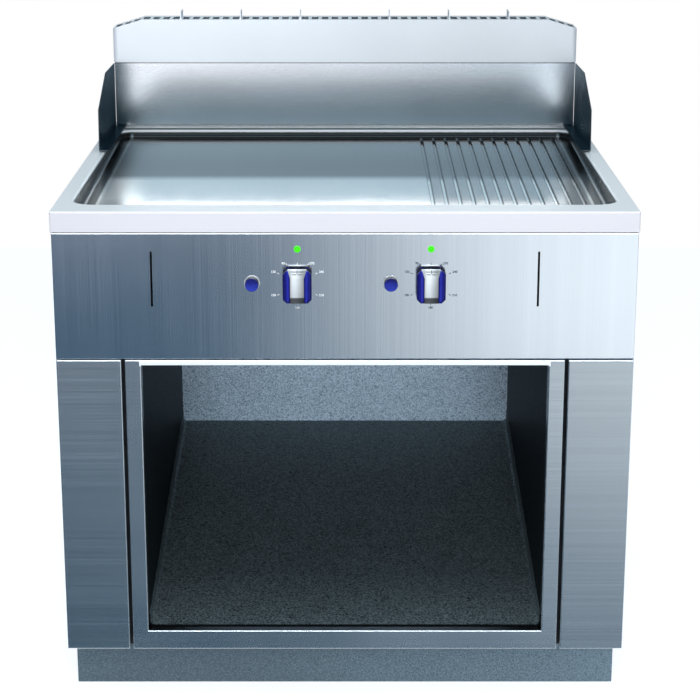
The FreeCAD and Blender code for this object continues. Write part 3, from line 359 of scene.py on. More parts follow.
def chrome_plate():
    finish = Finish("plate_chrome")
    x, y, z = finish.axes()
    haze = finish.noise(finish.place(), 4.0, 4.0, 0.6)
    wipe = finish.noise(finish.place((26.0, 1.4, 26.0)), 1.0, 3.0, 0.6)
    pores = finish.noise(finish.place(), 430.0, 2.0, 0.75)
    rough = finish.level(wipe * 0.4 + haze * 0.6, 0.35, 0.65, 0.055, 0.10)
    rough = rough + finish.level(abs(x), 0.36, 0.43, 0.0, 0.16)
    grain = finish.level(pores * 0.8 + haze * 0.2, 0.30, 0.70)
    skin = finish.tint(grain, (0.70, 0.735, 0.75), (0.93, 0.945, 0.95))
    # Painted reflection: the plate's front half is made bright.
    painted_reflection_front = finish.level(y, -0.004, -0.048)
    last = GROOVE_FIRST + (GROOVES - 1) * GROOVE_PITCH
    ribbed = (x > GROOVE_FIRST - 0.004) * (x < last + GROOVE_PITCH / 2) * (y < 0.360)
    away = (x - GROOVE_FIRST).maths("PINGPONG", x - GROOVE_FIRST, GROOVE_PITCH / 2)
    # Painted shade: each groove's edges are darkened.
    edge = ribbed * finish.band(away, 0.0026, 0.0042, 0.0007)
    # Painted highlight: each groove's middle is made bright at the front.
    core = ribbed * finish.level(away, 0.0016, 0.0026, 1.0, 0.0)
    # Painted light and shade: a dim base level, the painted reflection in front, and a darker front edge.
    painted_plate_light = 0.25 - finish.level(y, 0.24, 0.06) * 0.10 + painted_reflection_front * (0.78 - ribbed * 0.42)
    painted_plate_light = painted_plate_light - finish.level(y, -0.19, -0.30) * (0.57 - ribbed * 0.37)
    painted_plate_light = painted_plate_light * (1 - edge * 0.72) + core * painted_reflection_front * 0.55
    above = z - PLATE_FRONT[1] - (y - PLATE_FRONT[0]) * PLATE_SLOPE
    # Painted shade: the cove around the plate and the plate's flanks are darkened.
    cove = finish.level(above, 0.0004, 0.0016) * 0.62
    flank = finish.level(abs(x), FLANK - 0.0008, FLANK + 0.0008) * 0.90
    # Painted highlight: a bright line just inside each flank.
    glint = finish.band(abs(x), FLANK - 0.0062, FLANK - 0.0022, 0.0012)
    painted_plate_light = painted_plate_light * (1 - cove.maths("MAXIMUM", cove, flank)) + glint * 0.30
    skin = finish.times(skin, painted_plate_light)
    # Painted reflection: the same front half is also tinted warm.
    warm = finish.node("ShaderNodeMix", {"data_type": "RGBA", "blend_type": "MULTIPLY"},
                       {"Factor": painted_reflection_front, 6: skin, 7: (1.0, 0.93, 0.87, 1.0)})[2]
    finish.set(Base_Color=warm, Metallic=1.0, Roughness=rough,
               Normal=finish.bump(haze * 0.5 + pores * 0.02, 0.05, 0.002))
    return finish.material


plate_chrome = chrome_plate()
print("chrome ready")

# %% [markdown]
# ## The speckled cavity and the plinth
# The open base is lined with sheet that has a dark, grainy finish, like a hard-wearing coating with
# mineral grit in it. Grit is a cell pattern: a Voronoi texture gives each grain its own random value.
# We use that value twice, for a few lighter grains and for a slight difference in roughness, so that
# the floor glitters a little where light enters from the front. The lining also comes in lit and
# shaded copies of this finish: its side walls and ceiling are painted near black as shade, its back
# wall is painted light, and its floor is painted lighter at the front and black at its lip. The
# plinth is painted lighter towards its right end.


# %% Speckled sheet
def speckled(name, dark, light, roughness, metallic, grain=700.0, relief=0.12,
             front=0.0, right=0.0, lip=-1.0):
    """front and right: how much painted light its front edge and right end get. Before lip: painted black
    shade.
    """
    finish = Finish(name)
    x, y, z = finish.axes()
    where = finish.place()
    cells = finish.node("ShaderNodeTexVoronoi", {"feature": "F1"}, {"Vector": where, "Scale": grain})
    tone = finish.node("ShaderNodeSeparateColor", {}, {"Color": cells["Color"]})["Red"]
    coarse = finish.noise(where, grain * 0.45, 3.0, 0.7)
    wide = finish.noise(where, 2.6, 3.0, 0.55)
    mix = finish.level(tone * 0.30 + coarse * 0.60 + wide * 0.10, 0.30, 0.70)
    # Painted light and shade: lighter towards the front and the right end, and black in front of lip.
    painted_light_and_shade = 1 + finish.level(y, -0.25, -0.42) * front + finish.level(x, -0.25, 0.45) * right
    painted_light_and_shade = painted_light_and_shade * (1 - (y < lip) * 0.97)
    rough = finish.level(tone, 0.0, 1.0, roughness * 0.8, roughness * 1.15)
    skin = finish.times(finish.tint(mix, dark, light), painted_light_and_shade)
    finish.set(Base_Color=skin, Metallic=metallic, Roughness=rough, Specular_Tint=(0.35, 0.38, 0.40, 1.0),
               Normal=finish.bump(coarse, relief, 0.0006))
    return finish.material


# Painted shade: the front 4 mm of the floor pan, in front of PAN_LIP, is painted black.
PAN_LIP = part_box("cavity_floor_pan")[0].y + 0.004
# Painted light: the floor is made lighter towards its front, where light enters.
cavity_floor = speckled("cavity_floor_grit", (0.0, 0.0, 0.001), (0.185, 0.228, 0.245), 0.52, 0.55,
                        grain=520.0, front=0.7, lip=PAN_LIP)
# Painted shade: a near-black copy of the grit for the side walls and ceiling.
cavity_wall = speckled("cavity_wall_grit_painted_shade", (0.0, 0.0, 0.0), (0.040, 0.050, 0.054), 0.5, 0.6, grain=420.0)
# Painted light: a light copy of the grit for the back wall.
cavity_rear = speckled("cavity_rear_grit_painted_light", (0.14, 0.19, 0.25), (0.60, 0.72, 0.84), 0.32, 0.8, relief=0.05)
# Painted light: the plinth is made lighter towards its right end.
plinth_grit = speckled("plinth_grit", (0.065, 0.095, 0.12), (0.19, 0.255, 0.30), 0.5, 0.6,
                       relief=0.08, right=0.45)
print("speckled finishes ready")

# %% [markdown]
# ## Plastics, lamps and the parts inside
# The control knobs have deep blue cheeks with a thin glossy skin, which is what the Coat inputs are
# for. The cheeks carry a painted highlight stripe and painted shade at their edges, and their upper
# end is painted black as shade, so one mask on the height picks that colour. The lamps are
# green lenses that glow. The parts inside are mostly hidden, but each one still gets its own material:
# brass for valves, galvanised sheet for rails, aluminised sheet for the firebox, fibre board around it.


# %% Blue plastic, its top end painted black as shade
def from_knob(finish, x, z):
    """The distances from the axis of the nearer knob, across and up."""
    centre = KNOB_X[0] + (x > 0.5 * (KNOB_X[0] + KNOB_X[1])) * (KNOB_X[1] - KNOB_X[0])
    return abs(x - centre), x - centre, z - KNOB_MIDDLE


def knob_plastic():
    finish = Finish("knob_blue")
    where = finish.place()
    x, y, z = finish.axes()
    aside, across, up = from_knob(finish, x, z)
    grain = finish.noise(where, 260.0, 2.0, 0.5)
    cloud = finish.noise(where, 90.0, 2.0, 0.5)
    # Painted highlight: a lighter stripe down each cheek.
    ridge = finish.band(aside, 0.0150, 0.0168, 0.0016)
    # Painted shade: the cheeks are darker at their inner and outer edges.
    edge = finish.level(aside, 0.0118, 0.0136, 0.35, 1.0) * finish.level(aside, 0.0205, 0.0232, 1.0, 0.55)
    blue = finish.tint(cloud * 0.4 + ridge * 0.6, (0.0015, 0.0015, 0.105), (0.020, 0.027, 0.33))
    blue = finish.times(blue, edge)
    # Painted shade: the knob's top and upper back are painted black.
    top = up > KNOB_TALL - 0.0004
    black = top.maths("MAXIMUM", top, aside + up > KNOB_SHOULDER) * (y > KNOB_FRONT + 0.0105)
    finish.set(Base_Color=finish.tint(black, blue, (0.002, 0.002, 0.003)), IOR=1.45,
               Roughness=finish.level(grain, 0.3, 0.7, 0.38, 0.50) + black * 0.4, Specular_IOR_Level=0.15,
               Coat_Weight=0.10 * (1 - black), Coat_Roughness=0.12, Normal=finish.bump(grain, 0.03, 0.0002))
    return finish.material


def button_plastic():
    finish = Finish("button_blue")
    where = finish.place()
    x, y, z = finish.axes()
    cloud = finish.noise(where, 110.0, 2.0, 0.6)
    # Painted shade: behind its face the button's sides are darkened to an eighth.
    face = y < BUTTON_FACE + 0.0012
    # Painted light and shade: the face is lighter low down and darker towards the top.
    lower = finish.level(z, BUTTON_MIDDLE - 0.008, BUTTON_MIDDLE + 0.010, 1.0, 0.0)
    shade = finish.level(lower * 0.6 + cloud * 0.4, 0.2, 0.8)
    blue = finish.tint(shade, (0.002, 0.003, 0.085), (0.024, 0.040, 0.36))
    blue = finish.times(blue, 0.12 + face * 0.88)
    finish.set(Base_Color=blue, Roughness=finish.level(cloud, 0.3, 0.7, 0.42, 0.55), Specular_IOR_Level=0.15,
               Normal=finish.bump(cloud, 0.10, 0.0004))
    return finish.material


def glowing_lens():
    finish = Finish("lamp_green_glow")
    where = finish.place()
    cells = finish.node("ShaderNodeTexVoronoi", {"feature": "F1"}, {"Vector": where, "Scale": 900.0})
    facets = cells["Distance"]
    glow = finish.tint(facets, (0.050, 1.0, 0.0), (0.085, 1.0, 0.004))
    finish.set(Base_Color=(0.01, 0.3, 0.005, 1.0), Emission_Color=glow, Emission_Strength=0.92,
               Roughness=0.25, Normal=finish.bump(facets, 0.05, 0.0003))
    return finish.material


def plain(name, dark, light, metallic, roughness, grain=30.0, relief=0.05, spread=0.25):
    """A quiet finish: cloudy colour, uneven sheen and a fine relief."""
    finish = Finish(name)
    where = finish.place()
    cloud = finish.noise(where, grain, 4.0, 0.55)
    fine = finish.noise(where, grain * 14.0, 2.0, 0.5)
    low, high = roughness * (1 - spread), roughness * (1 + spread)
    rough = finish.level(fine * 0.5 + cloud * 0.5, 0.3, 0.7, low, high)
    finish.set(Base_Color=finish.tint(finish.level(cloud, 0.3, 0.7), dark, light), Metallic=metallic,
               Roughness=rough, Normal=finish.bump(fine, relief, 0.0005))
    return finish.material


def knob_metal():
    """Satin knob bar metal with painted shade: bright in the middle, grey at its right edge, dark at its
    foot.
    """
    finish = Finish("knob_bar_metal")
    x, y, z = finish.axes()
    aside, across, up = from_knob(finish, x, z)
    fine = finish.noise(finish.place((60.0, 900.0, 900.0)), 1.0, 2.0, 0.5)
    cloud = finish.noise(finish.place(), 60.0, 2.0, 0.5)
    # Painted shade: darker towards the bar's edges, at its foot and lower down.
    left_side = finish.level(across, -0.0116, -0.0075, 0.62, 1.0)
    right_side = finish.level(across, -0.0020, 0.0110, 1.0, 0.36)
    foot = finish.level(up, 0.0100 - KNOB_TALL, 0.0125 - KNOB_TALL, 0.20, 1.0)
    shade = finish.level(up, -0.014, 0.010, 0.78, 1.0)
    skin = finish.tint(fine * 0.5 + cloud * 0.5, (0.72, 0.74, 0.76), (0.90, 0.91, 0.92))
    skin = finish.times(skin, left_side * right_side * foot * shade)
    finish.set(Base_Color=skin, Metallic=0.35, Roughness=finish.level(cloud, 0.3, 0.7, 0.34, 0.46),
               Normal=finish.bump(fine, 0.05, 0.0002))
    return finish.material


def dial_ink():
    """Matt etched marks in lit and shaded copies: painted pale by the dark left dial, dark by the bright
    right.
    """
    finish = Finish("dial_ink")
    x, y, z = finish.axes()
    wear = finish.noise(finish.place(), 900.0, 2.0, 0.5)
    dark = finish.tint(wear, (0.002, 0.003, 0.004), (0.010, 0.013, 0.016))
    pale = finish.tint(wear, (0.80, 0.82, 0.84), (0.95, 0.96, 0.97))
    # Painted light: marks on the left dial get the pale copy, all others the dark copy.
    left_dial = (x < 0.03) * (y > -0.4495)
    finish.set(Base_Color=finish.tint(left_dial, dark, pale), Specular_IOR_Level=0.1,
               Roughness=finish.level(wear, 0.3, 0.7, 0.55, 0.68), Normal=finish.bump(wear, 0.02, 0.0002))
    return finish.material


knob_low, knob_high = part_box("knob_body_left")
KNOB_X = [(knob_low.x + knob_high.x) / 2, sum(corner.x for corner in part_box("knob_body_right")) / 2]
KNOB_MIDDLE = (knob_low.z + knob_high.z) / 2
KNOB_TALL = (knob_high.z - knob_low.z) / 2
KNOB_SHOULDER = KNOB_TALL + (knob_high.x - knob_low.x) / 2 - 0.0065 - 0.0006
KNOB_FRONT = knob_low.y
BUTTON_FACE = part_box("igniter_button_left")[0].y
BUTTON_MIDDLE = sum(corner.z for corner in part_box("igniter_button_left")) / 2
knob_blue = knob_plastic()
button_blue = button_plastic()
knob_bright = knob_metal()
lens_green = glowing_lens()
chrome_ring = plain("bezel_chrome", (0.58, 0.60, 0.62), (0.72, 0.74, 0.76), 0.6, 0.24, 80.0, 0.02)
zinc = plain("zinc_plate", (0.52, 0.54, 0.57), (0.70, 0.72, 0.75), 1.0, 0.34, 40.0)
galvanised = plain("galvanised_sheet", (0.46, 0.49, 0.51), (0.66, 0.69, 0.72), 0.9, 0.42, 55.0, 0.08)
# Painted shade: a near-black copy of galvanised sheet for the chassis and posts seen through the gaps.
zinc_painted_shade = plain("galvanised_sheet_painted_shade", (0.030, 0.034, 0.038), (0.070, 0.076, 0.082), 0.7, 0.55, 40.0,
                  0.08)
aluminised = plain("aluminised_sheet", (0.50, 0.51, 0.52), (0.68, 0.69, 0.70), 0.9, 0.46, 22.0, 0.06)
fibre_board = plain("ceramic_fibre_board", (0.66, 0.63, 0.57), (0.80, 0.78, 0.73), 0.0, 0.92, 60.0, 0.5)
burner_metal = plain("burner_steel", (0.30, 0.29, 0.30), (0.44, 0.42, 0.43), 1.0, 0.44, 18.0, 0.08)
brass = plain("brass", (0.62, 0.44, 0.17), (0.80, 0.60, 0.27), 1.0, 0.30, 30.0)
alu_tube = plain("aluminium_tube", (0.66, 0.67, 0.68), (0.80, 0.81, 0.82), 1.0, 0.30, 30.0)
gas_pipe = plain("gas_pipe_black_steel", (0.11, 0.11, 0.12), (0.19, 0.19, 0.20), 0.8, 0.46, 24.0, 0.08)
black_plastic = plain("black_plastic", (0.012, 0.012, 0.014), (0.030, 0.030, 0.034), 0.0, 0.42, 90.0, 0.05)
white_ceramic = plain("white_ceramic", (0.74, 0.73, 0.69), (0.86, 0.85, 0.82), 0.0, 0.26, 70.0, 0.03)
silicone = plain("silicone_lead_red", (0.30, 0.035, 0.02), (0.44, 0.06, 0.035), 0.0, 0.5, 50.0, 0.04)
copper = plain("copper_probe", (0.60, 0.29, 0.16), (0.78, 0.42, 0.27), 1.0, 0.30, 30.0)
ink = dial_ink()
print("materials so far:", len(bpy.data.materials))

# %% [markdown]
# ## Dressing the CAD parts
# One table says which finish each CAD part wears. Names that come in a left and a right version are
# written once, with a star. A part that the table forgets would stay grey, so the cell stops with an
# error if any part has no finish.

# %% Which part wears what
DRESS = {
    panel_steel: ["control_panel"],
    cover_steel: ["base_cover_*"],
    frame_steel: ["opening_frame"],
    side_steel: ["side_panel_*", "flue_rear_panel", "rear_panel"],
    worktop_satin: ["worktop"],
    plate_chrome: ["griddle_plate"],
    splash_steel: ["splash_panel"],
    flue_satin: ["flue_hood", "flue_grille", "flue_dividers"],
    guard_steel: ["guard_*"],
    cavity_floor: ["cavity_floor_pan"],
    cavity_wall: ["cavity_side_walls", "cavity_ceiling"],
    cavity_rear: ["cavity_back_wall"],
    plinth_grit: ["plinth_front", "plinth_surround"],
    galvanised: ["cross_rails", "collector_runners"],
    zinc_painted_shade: ["base_chassis", "front_posts"],
    zinc: ["levelling_feet", "foot_nuts", "rear_panel_screws", "valve_plug_*", "valve_spindle_*",
           "injectors"],
    aluminised: ["firebox", "flue_duct"],
    fibre_board: ["insulation_boards"],
    burner_metal: ["burner_*"],
    gas_pipe: ["gas_inlet_pipe", "gas_manifold"],
    brass: ["valve_bodies"],
    alu_tube: ["feed_pipes"],
    button_blue: ["igniter_button_*"],
    chrome_ring: ["button_bezels"],
    knob_blue: ["knob_body_*"],
    knob_bright: ["knob_bar_*"],
    lens_green: ["indicator_lenses"],
    black_plastic: ["igniter_bodies", "lamp_holders", "terminal_box", "wiring"],
    white_ceramic: ["spark_electrodes"],
    silicone: ["ignition_leads"],
    copper: ["thermocouples"],
    cavity_steel: ["drain_spout", "grease_collector"],
}


def wears(name, pattern):
    return name == pattern or (pattern.endswith("*") and name.startswith(pattern[:-1]))


for material, patterns in DRESS.items():
    for name, part in nodes.items():
        if any(wears(name, pattern) for pattern in patterns):
            part.data.materials.clear()
            part.data.materials.append(material)
            part["dressed"] = True

undressed = [name for name, part in nodes.items() if "dressed" not in part]
assert not undressed, undressed
print("dressed parts:", len(nodes))

# %% [markdown]
# ## Printed dial marks
# Around each knob there are seven numbers and eight short ticks. They're ink on the steel, so they're
# almost flat: a tenth of a millimetre thick, just proud of the panel. Each number is a text object
# first. We turn it into a mesh, put it in place by moving its vertices, and join all the numbers.

# %% Numbers
FACE_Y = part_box("control_panel")[0].y
INK_PROUD = 0.0001
KNOB_AT = {}
for side in ("left", "right"):
    low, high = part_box("knob_body_" + side)
    KNOB_AT[side] = Vector(((low.x + high.x) / 2, FACE_Y, (low.z + high.z) / 2))
DIAL = [("90", -0.0240, 0.0355), ("120", -0.0410, 0.0208), ("150", -0.0410, -0.0203), ("180", 0.0, -0.0423),
        ("210", 0.0410, -0.0203), ("240", 0.0410, 0.0208), ("270", 0.0248, 0.0355)]
NUMBER_SIZE = 0.0056


def text_mesh(words, size):
    """The outline of the words as a mesh in the XZ plane, centred on the origin and facing -Y."""
    curve = bpy.data.curves.new("words", "FONT")
    curve.body = words
    curve.size = size
    curve.align_x = "CENTER"
    curve.align_y = "CENTER"
    curve.extrude = INK_PROUD / 2
    curve.offset = 0.00012
    curve.resolution_u = 3
    holder = bpy.data.objects.new("words", curve)
    bpy.context.scene.collection.objects.link(holder)
    bpy.context.view_layer.update()
    mesh = bpy.data.meshes.new_from_object(holder.evaluated_get(bpy.context.evaluated_depsgraph_get()))
    bpy.data.objects.remove(holder)
    bpy.data.curves.remove(curve)
    for vertex in mesh.vertices:
        vertex.co = (vertex.co.x, -vertex.co.z, vertex.co.y)
    return mesh


def joined(name, meshes, material):
    """One object from meshes that are already in place."""
    made = bmesh.new()
    for mesh in meshes:
        made.from_mesh(mesh)
        bpy.data.meshes.remove(mesh)
    bmesh.ops.remove_doubles(made, verts=made.verts, dist=1e-6)
    bmesh.ops.recalc_face_normals(made, faces=made.faces)
    whole = bpy.data.meshes.new(name)
    made.to_mesh(whole)
    made.free()
    whole.materials.clear()
    whole.materials.append(material)
    result = bpy.data.objects.new(name, whole)
    bpy.context.scene.collection.objects.link(result)
    return result


numbers = []
for centre in KNOB_AT.values():
    for words, x, z in DIAL:
        mesh = text_mesh(words, NUMBER_SIZE)
        for vertex in mesh.vertices:
            vertex.co += Vector((centre.x + x, FACE_Y - INK_PROUD / 2, centre.z + z))
        numbers.append(mesh)
dial_numbers = joined("dial_numbers", numbers, ink)
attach(dial_numbers, "appliance")
print("dial numbers:", len(dial_numbers.data.polygons), "faces")

# %% [markdown]
# ## Ticks and screw slots, with Geometry Nodes
# A tick is a small block that points away from the middle of its dial. A screw's cross slot is two
# such blocks. Both are the same idea: *put a block on each point and turn it along an arrow*. So one
# Geometry Nodes tree does both. Its input is a cloud of points that carries an arrow for each point,
# and its group inputs give the size of the block and its finish.


# %% The block-on-points tree
def block_tree():
    tree = bpy.data.node_groups.new("blocks_on_points", "GeometryNodeTree")
    sockets = {}
    face = tree.interface
    face.new_socket("Geometry", in_out="INPUT", socket_type="NodeSocketGeometry")
    for name, value in (("Length", 0.003), ("Depth", 0.0001), ("Width", 0.0006)):
        socket = face.new_socket(name, in_out="INPUT", socket_type="NodeSocketFloat")
        socket.default_value = value
        sockets[name] = socket.identifier
    sockets["Finish"] = face.new_socket("Finish", in_out="INPUT", socket_type="NodeSocketMaterial").identifier
    face.new_socket("Geometry", in_out="OUTPUT", socket_type="NodeSocketGeometry")
    add = tree.nodes.new
    source, target = add("NodeGroupInput"), add("NodeGroupOutput")
    size = add("ShaderNodeCombineXYZ")
    block = add("GeometryNodeMeshCube")
    arrow = add("GeometryNodeInputNamedAttribute")
    arrow.data_type = "FLOAT_VECTOR"
    arrow.inputs["Name"].default_value = "arrow"
    turn = add("FunctionNodeAlignRotationToVector")
    turn.axis = "X"
    spread = add("GeometryNodeInstanceOnPoints")
    real = add("GeometryNodeRealizeInstances")
    paint = add("GeometryNodeSetMaterial")
    link = tree.links.new
    link(source.outputs["Length"], size.inputs["X"])
    link(source.outputs["Depth"], size.inputs["Y"])
    link(source.outputs["Width"], size.inputs["Z"])
    link(size.outputs["Vector"], block.inputs["Size"])
    link(arrow.outputs["Attribute"], turn.inputs["Vector"])
    link(source.outputs["Geometry"], spread.inputs["Points"])
    link(block.outputs["Mesh"], spread.inputs["Instance"])
    link(turn.outputs["Rotation"], spread.inputs["Rotation"])
    link(spread.outputs["Instances"], real.inputs["Geometry"])
    link(real.outputs["Geometry"], paint.inputs["Geometry"])
    link(source.outputs["Finish"], paint.inputs["Material"])
    link(paint.outputs["Geometry"], target.inputs["Geometry"])
    return tree, sockets


BLOCKS, BLOCK_INPUTS = block_tree()


def blocks(name, places, length, depth, width, material):
    """places is a list of (point, arrow). Returns one plain mesh object with a block on each point."""
    cloud = bpy.data.meshes.new(name)
    cloud.from_pydata([tuple(point) for point, arrow in places], [], [])
    arrows = cloud.attributes.new("arrow", "FLOAT_VECTOR", "POINT")
    for index, (point, arrow) in enumerate(places):
        arrows.data[index].vector = arrow
    result = bpy.data.objects.new(name, cloud)
    bpy.context.scene.collection.objects.link(result)
    modifier = result.modifiers.new("blocks", "NODES")
    modifier.node_group = BLOCKS
    for key, value in (("Length", length), ("Depth", depth), ("Width", width), ("Finish", material)):
        modifier[BLOCK_INPUTS[key]] = value
    bpy.context.view_layer.update()
    mesh = bpy.data.meshes.new_from_object(result.evaluated_get(bpy.context.evaluated_depsgraph_get()))
    result.modifiers.clear()
    result.data = mesh
    return result


TICKS = [(-0.0185, 0.0340), (-0.0325, 0.0180), (-0.0325, -0.0195), (0.0, -0.0352), (0.0325, -0.0195),
         (0.0325, 0.0180), (0.0185, 0.0340), (0.0, 0.0345)]
tick_places = []
for centre in KNOB_AT.values():
    for x, z in TICKS:
        point = Vector((centre.x + x, FACE_Y - INK_PROUD / 2, centre.z + z))
        tick_places.append((point, Vector((x, 0, z)).normalized()))
dial_ticks = blocks("dial_ticks", tick_places, 0.0040, INK_PROUD, 0.0010, ink)
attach(dial_ticks, "appliance")

screws = nodes["rear_panel_screws"].data
SCREW_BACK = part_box("rear_panel_screws")[1].y
heads = {}
for vertex in screws.vertices:
    if vertex.co.y > SCREW_BACK - 0.0001:
        heads.setdefault((vertex.co.x > 0, round(vertex.co.z / 0.05)), []).append(vertex.co.copy())
slot_places = []
for group in heads.values():
    middle = sum(group, Vector()) / len(group)
    for arrow in ((1, 0, 0), (0, 0, 1)):
        slot_places.append((Vector((middle.x, SCREW_BACK - 0.00002, middle.z)), Vector(arrow)))
# Painted shade: each cross slot is drawn as black blocks laid on the head, for the shade in the slot.
screw_slots = blocks("screw_slots", slot_places, 0.0042, 0.0001, 0.0009, black_plastic)
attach(screw_slots, "appliance")
print("ticks:", len(tick_places), " screw slots:", len(slot_places))

# %% [markdown]
# ## Pointer lines on the knobs
# The upper end of each metal bar is cut back at a slope. A pointer line runs up the slope, and short
# cross lines stand beside it. We build each line as a thin block in the slope's own plane. The two
# ends of the slope come from the bar itself: its foremost point and its highest point.

# %% Lines that lie on a slope
LINE_PROUD = 0.00012
SLOPE_HEAD = KNOB_TALL
SLOPE_FOOT = SLOPE_HEAD - 0.012


def line_block(x0, x1, foot, head, centre, low_y, high_y):
    """A thin block on the slope between two heights above the knob's axis."""
    made = bmesh.new()
    run = (high_y - low_y) / (SLOPE_HEAD - SLOPE_FOOT)
    outward = Vector((0, -1, run)).normalized() * LINE_PROUD
    corners = []
    for x, z in ((x0, foot), (x1, foot), (x1, head), (x0, head)):
        point = Vector((centre.x + x, low_y + (z - SLOPE_FOOT) * run, centre.z + z))
        corners.append((made.verts.new(point - outward * 0.5), made.verts.new(point + outward)))
    made.faces.new([inner for inner, outer in corners])
    made.faces.new([outer for inner, outer in corners])
    for (inner_a, outer_a), (inner_b, outer_b) in zip(corners, corners[1:] + corners[:1]):
        made.faces.new([inner_a, inner_b, outer_b, outer_a])
    mesh = bpy.data.meshes.new("line")
    made.to_mesh(mesh)
    made.free()
    return mesh


for side in ("left", "right"):
    centre = KNOB_AT[side]
    bar = nodes["knob_bar_" + side].data
    front_y = min(v.co.y for v in bar.vertices)
    top_z = max(v.co.z for v in bar.vertices)
    head_y = min(v.co.y for v in bar.vertices if v.co.z > top_z - 0.0003)
    lines = [(-0.0005, 0.0005, 0.0230, 0.0279)]
    for height, reach in ((0.0214, 0.0082), (0.0252, 0.0098)):
        lines.append((-reach, -0.0009, height, height + 0.0008))
        lines.append((0.0009, reach, height, height + 0.0008))
    meshes = [line_block(*line, centre, front_y, head_y) for line in lines]
    pointer = joined("knob_pointer_" + side, meshes, ink)
    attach(pointer, side + "_knob")
print("pointer lines ready")

# %% [markdown]
# ## Studio
# The portrait stands on white paper in front of a white wall. Steel shows its surroundings, so the
# surroundings are designed. A flat front reflects only the small patch of studio that lies in its
# mirror direction, and we give each of these patches its own light:
#
# - low in front: dark blue-grey on the left and bright on the right, for the control panel
# - just under the horizon: a bright band, for the flue box above the splashback
# - over the horizon: a soft card, for the splashback, with dim surroundings for the rest
# - behind: bright, for the rims of the worktop

# %% Floor and lamps
PAPER_FRONT = -0.52
PAPER_BACK = 3.2
PAPER_HALF = 2.4
paper_mesh = bpy.data.meshes.new("paper_floor")
paper_corners = [(-PAPER_HALF, PAPER_FRONT, 0), (PAPER_HALF, PAPER_FRONT, 0),
                 (PAPER_HALF, PAPER_BACK, 0), (-PAPER_HALF, PAPER_BACK, 0)]
paper_mesh.from_pydata(paper_corners, [], [(0, 1, 2, 3)])
paper_floor = bpy.data.objects.new("paper_floor", paper_mesh)
bpy.context.scene.collection.objects.link(paper_floor)
white_paper = plain("white_paper", (0.60, 0.60, 0.61), (0.62, 0.62, 0.63), 0.0, 0.85, 3.0, 0.02)
paper_mesh.materials.append(white_paper)
paper = white_paper.node_tree.nodes["Principled BSDF"]
paper.inputs["Emission Color"].default_value = (1.0, 1.0, 1.0, 1.0)
paper.inputs["Emission Strength"].default_value = 0.62


def soft_light(name, place, target, size, power, colour=(1, 1, 1), only=()):
    """A softbox. With only, it's flagged off everything but these CAD parts, as black cards would do."""
    lamp = bpy.data.lights.new(name, "AREA")
    lamp.shape = "RECTANGLE"
    lamp.size, lamp.size_y = size
    lamp.energy = power
    lamp.color = colour
    holder = bpy.data.objects.new(name, lamp)
    holder.location = place
    holder.rotation_euler = (Vector(target) - Vector(place)).to_track_quat("-Z", "Y").to_euler()
    holder.visible_camera = False
    bpy.context.scene.collection.objects.link(holder)
    if only:
        lit = bpy.data.collections.new(name + "_lights")
        for part in only:
            lit.objects.link(part)
        holder.light_linking.receiver_collection = lit


SATIN_PARTS = ["worktop", "flue_hood", "flue_grille", "flue_dividers"]
CONTROL_PARTS = [name for name in nodes if name.startswith(("knob_", "igniter_button_", "button_bezels"))]
FRONT_SHEETS = ["control_panel", "opening_frame", "base_cover_left", "base_cover_right"]
marks = [dial_numbers, dial_ticks]
CAVITY_PARTS = ["cavity_floor_pan", "cavity_back_wall", "grease_collector"]
soft_light("front_softbox", (0.0, -3.4, 2.4), (0, -0.2, 0.9), (3.2, 1.2), 135, (0.96, 0.985, 1.0),
           [nodes[name] for name in SATIN_PARTS + CONTROL_PARTS + FRONT_SHEETS] + [paper_floor] + marks)
soft_light("base_fill", (0.0, -2.6, 1.1), (0, 0.1, 0.35), (1.2, 0.8), 46, (0.90, 0.97, 1.0),
           [nodes[name] for name in CAVITY_PARTS])
print("lamps ready")


# %% Surroundings
LOW_LEFT = (0.036, 0.090, 0.150)
LOW_RIGHT = (1.21, 1.27, 1.29)
DEEP_LEFT = (0.040, 0.100, 0.158)
DEEP_RIGHT = (0.03, 0.10, 0.18)
BAND_LEFT = (1.60, 1.52, 1.58)
BAND_RIGHT = (0.50, 0.60, 0.68)
FRONT_UPPER = (0.20, 0.29, 0.36)
CARD_LEFT = (0.80, 1.02, 1.16)
CARD_RIGHT = (0.56, 0.75, 0.88)
BACK_LOW = (0.30, 0.36, 0.42)
BACK_HIGH = (0.66, 0.76, 0.82)


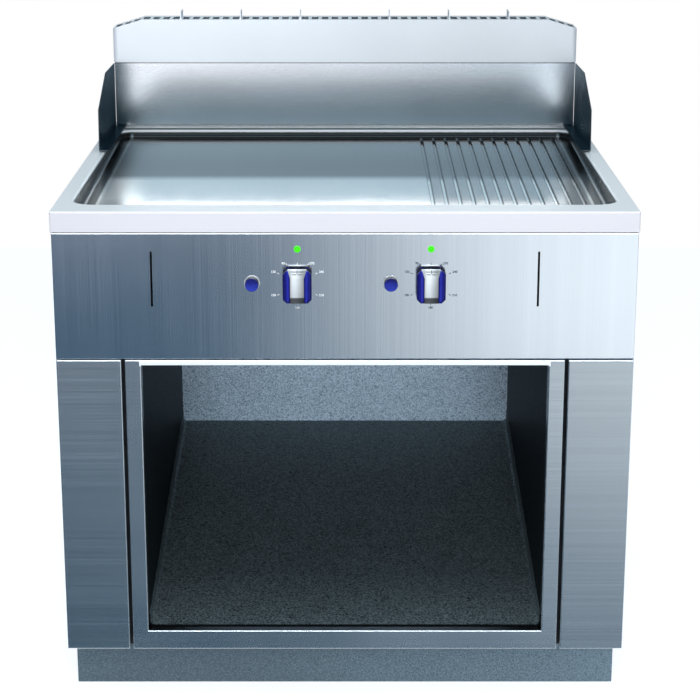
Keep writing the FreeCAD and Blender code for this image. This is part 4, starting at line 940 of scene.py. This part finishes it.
def surroundings():
    world = bpy.data.worlds.new("studio")
    bpy.context.scene.world = world
    world.use_nodes = True
    tree = world.node_tree
    tree.nodes.clear()
    studio = Finish.__new__(Finish)
    studio.tree = tree
    direction = studio.node("ShaderNodeTexCoord")["Generated"]
    parts = studio.node("ShaderNodeSeparateXYZ", {}, {"Vector": direction})
    x, y, z = parts["X"], parts["Y"], parts["Z"]
    across = studio.level(x, -0.038, 0.105)
    sheet = studio.tint(across, LOW_LEFT, LOW_RIGHT)
    deep = studio.tint(across, DEEP_LEFT, studio.tint(studio.level(z, -0.398, -0.280), DEEP_RIGHT, LOW_RIGHT))
    low = studio.tint(studio.level(z, -0.290, -0.280), deep, sheet)
    band = studio.tint(across, BAND_LEFT, BAND_RIGHT)
    card = studio.tint(studio.level(x, -0.10, 0.10), CARD_LEFT, CARD_RIGHT)
    card_seen = studio.band(abs(x), -1.0, 0.14, 0.08) * studio.band(z, 0.14, 0.38, 0.07)
    upper = studio.tint(card_seen, FRONT_UPPER, card)
    in_front = studio.tint(studio.level(z, -0.168, -0.148), low, band)
    in_front = studio.tint(studio.level(z, -0.07, 0.03), in_front, upper)
    behind = studio.tint(studio.level(z, -0.1, 0.3), BACK_LOW, BACK_HIGH)
    room = studio.tint(studio.level(y, -0.5, 0.1), in_front, behind)
    eye = studio.node("ShaderNodeLightPath")["Is Camera Ray"]
    colour = studio.tint(eye, room, (1.0, 1.0, 1.0))
    light = studio.node("ShaderNodeBackground", {}, {"Color": colour, "Strength": 1.0})
    output = tree.nodes.new("ShaderNodeOutputWorld")
    tree.links.new(light["Background"].socket, output.inputs["Surface"])


surroundings()
print("studio ready")

# %% [markdown]
# ## Camera
# A long lens from the front, a little above the worktop, looking down by sixteen degrees.

# %% Camera
lens = bpy.data.cameras.new("portrait")
lens.sensor_width = 36.0
lens.lens = 101.8
lens.shift_x = 0.0073
camera = bpy.data.objects.new("portrait", lens)
camera.location = (0.0, -3.726, 1.591)
camera.rotation_euler = (math.radians(90 - 15.91), 0, 0)
bpy.context.scene.collection.objects.link(camera)
bpy.context.scene.camera = camera
bpy.context.scene.view_settings.view_transform = "Standard"
bpy.context.scene.view_settings.look = "None"
print("camera ready")
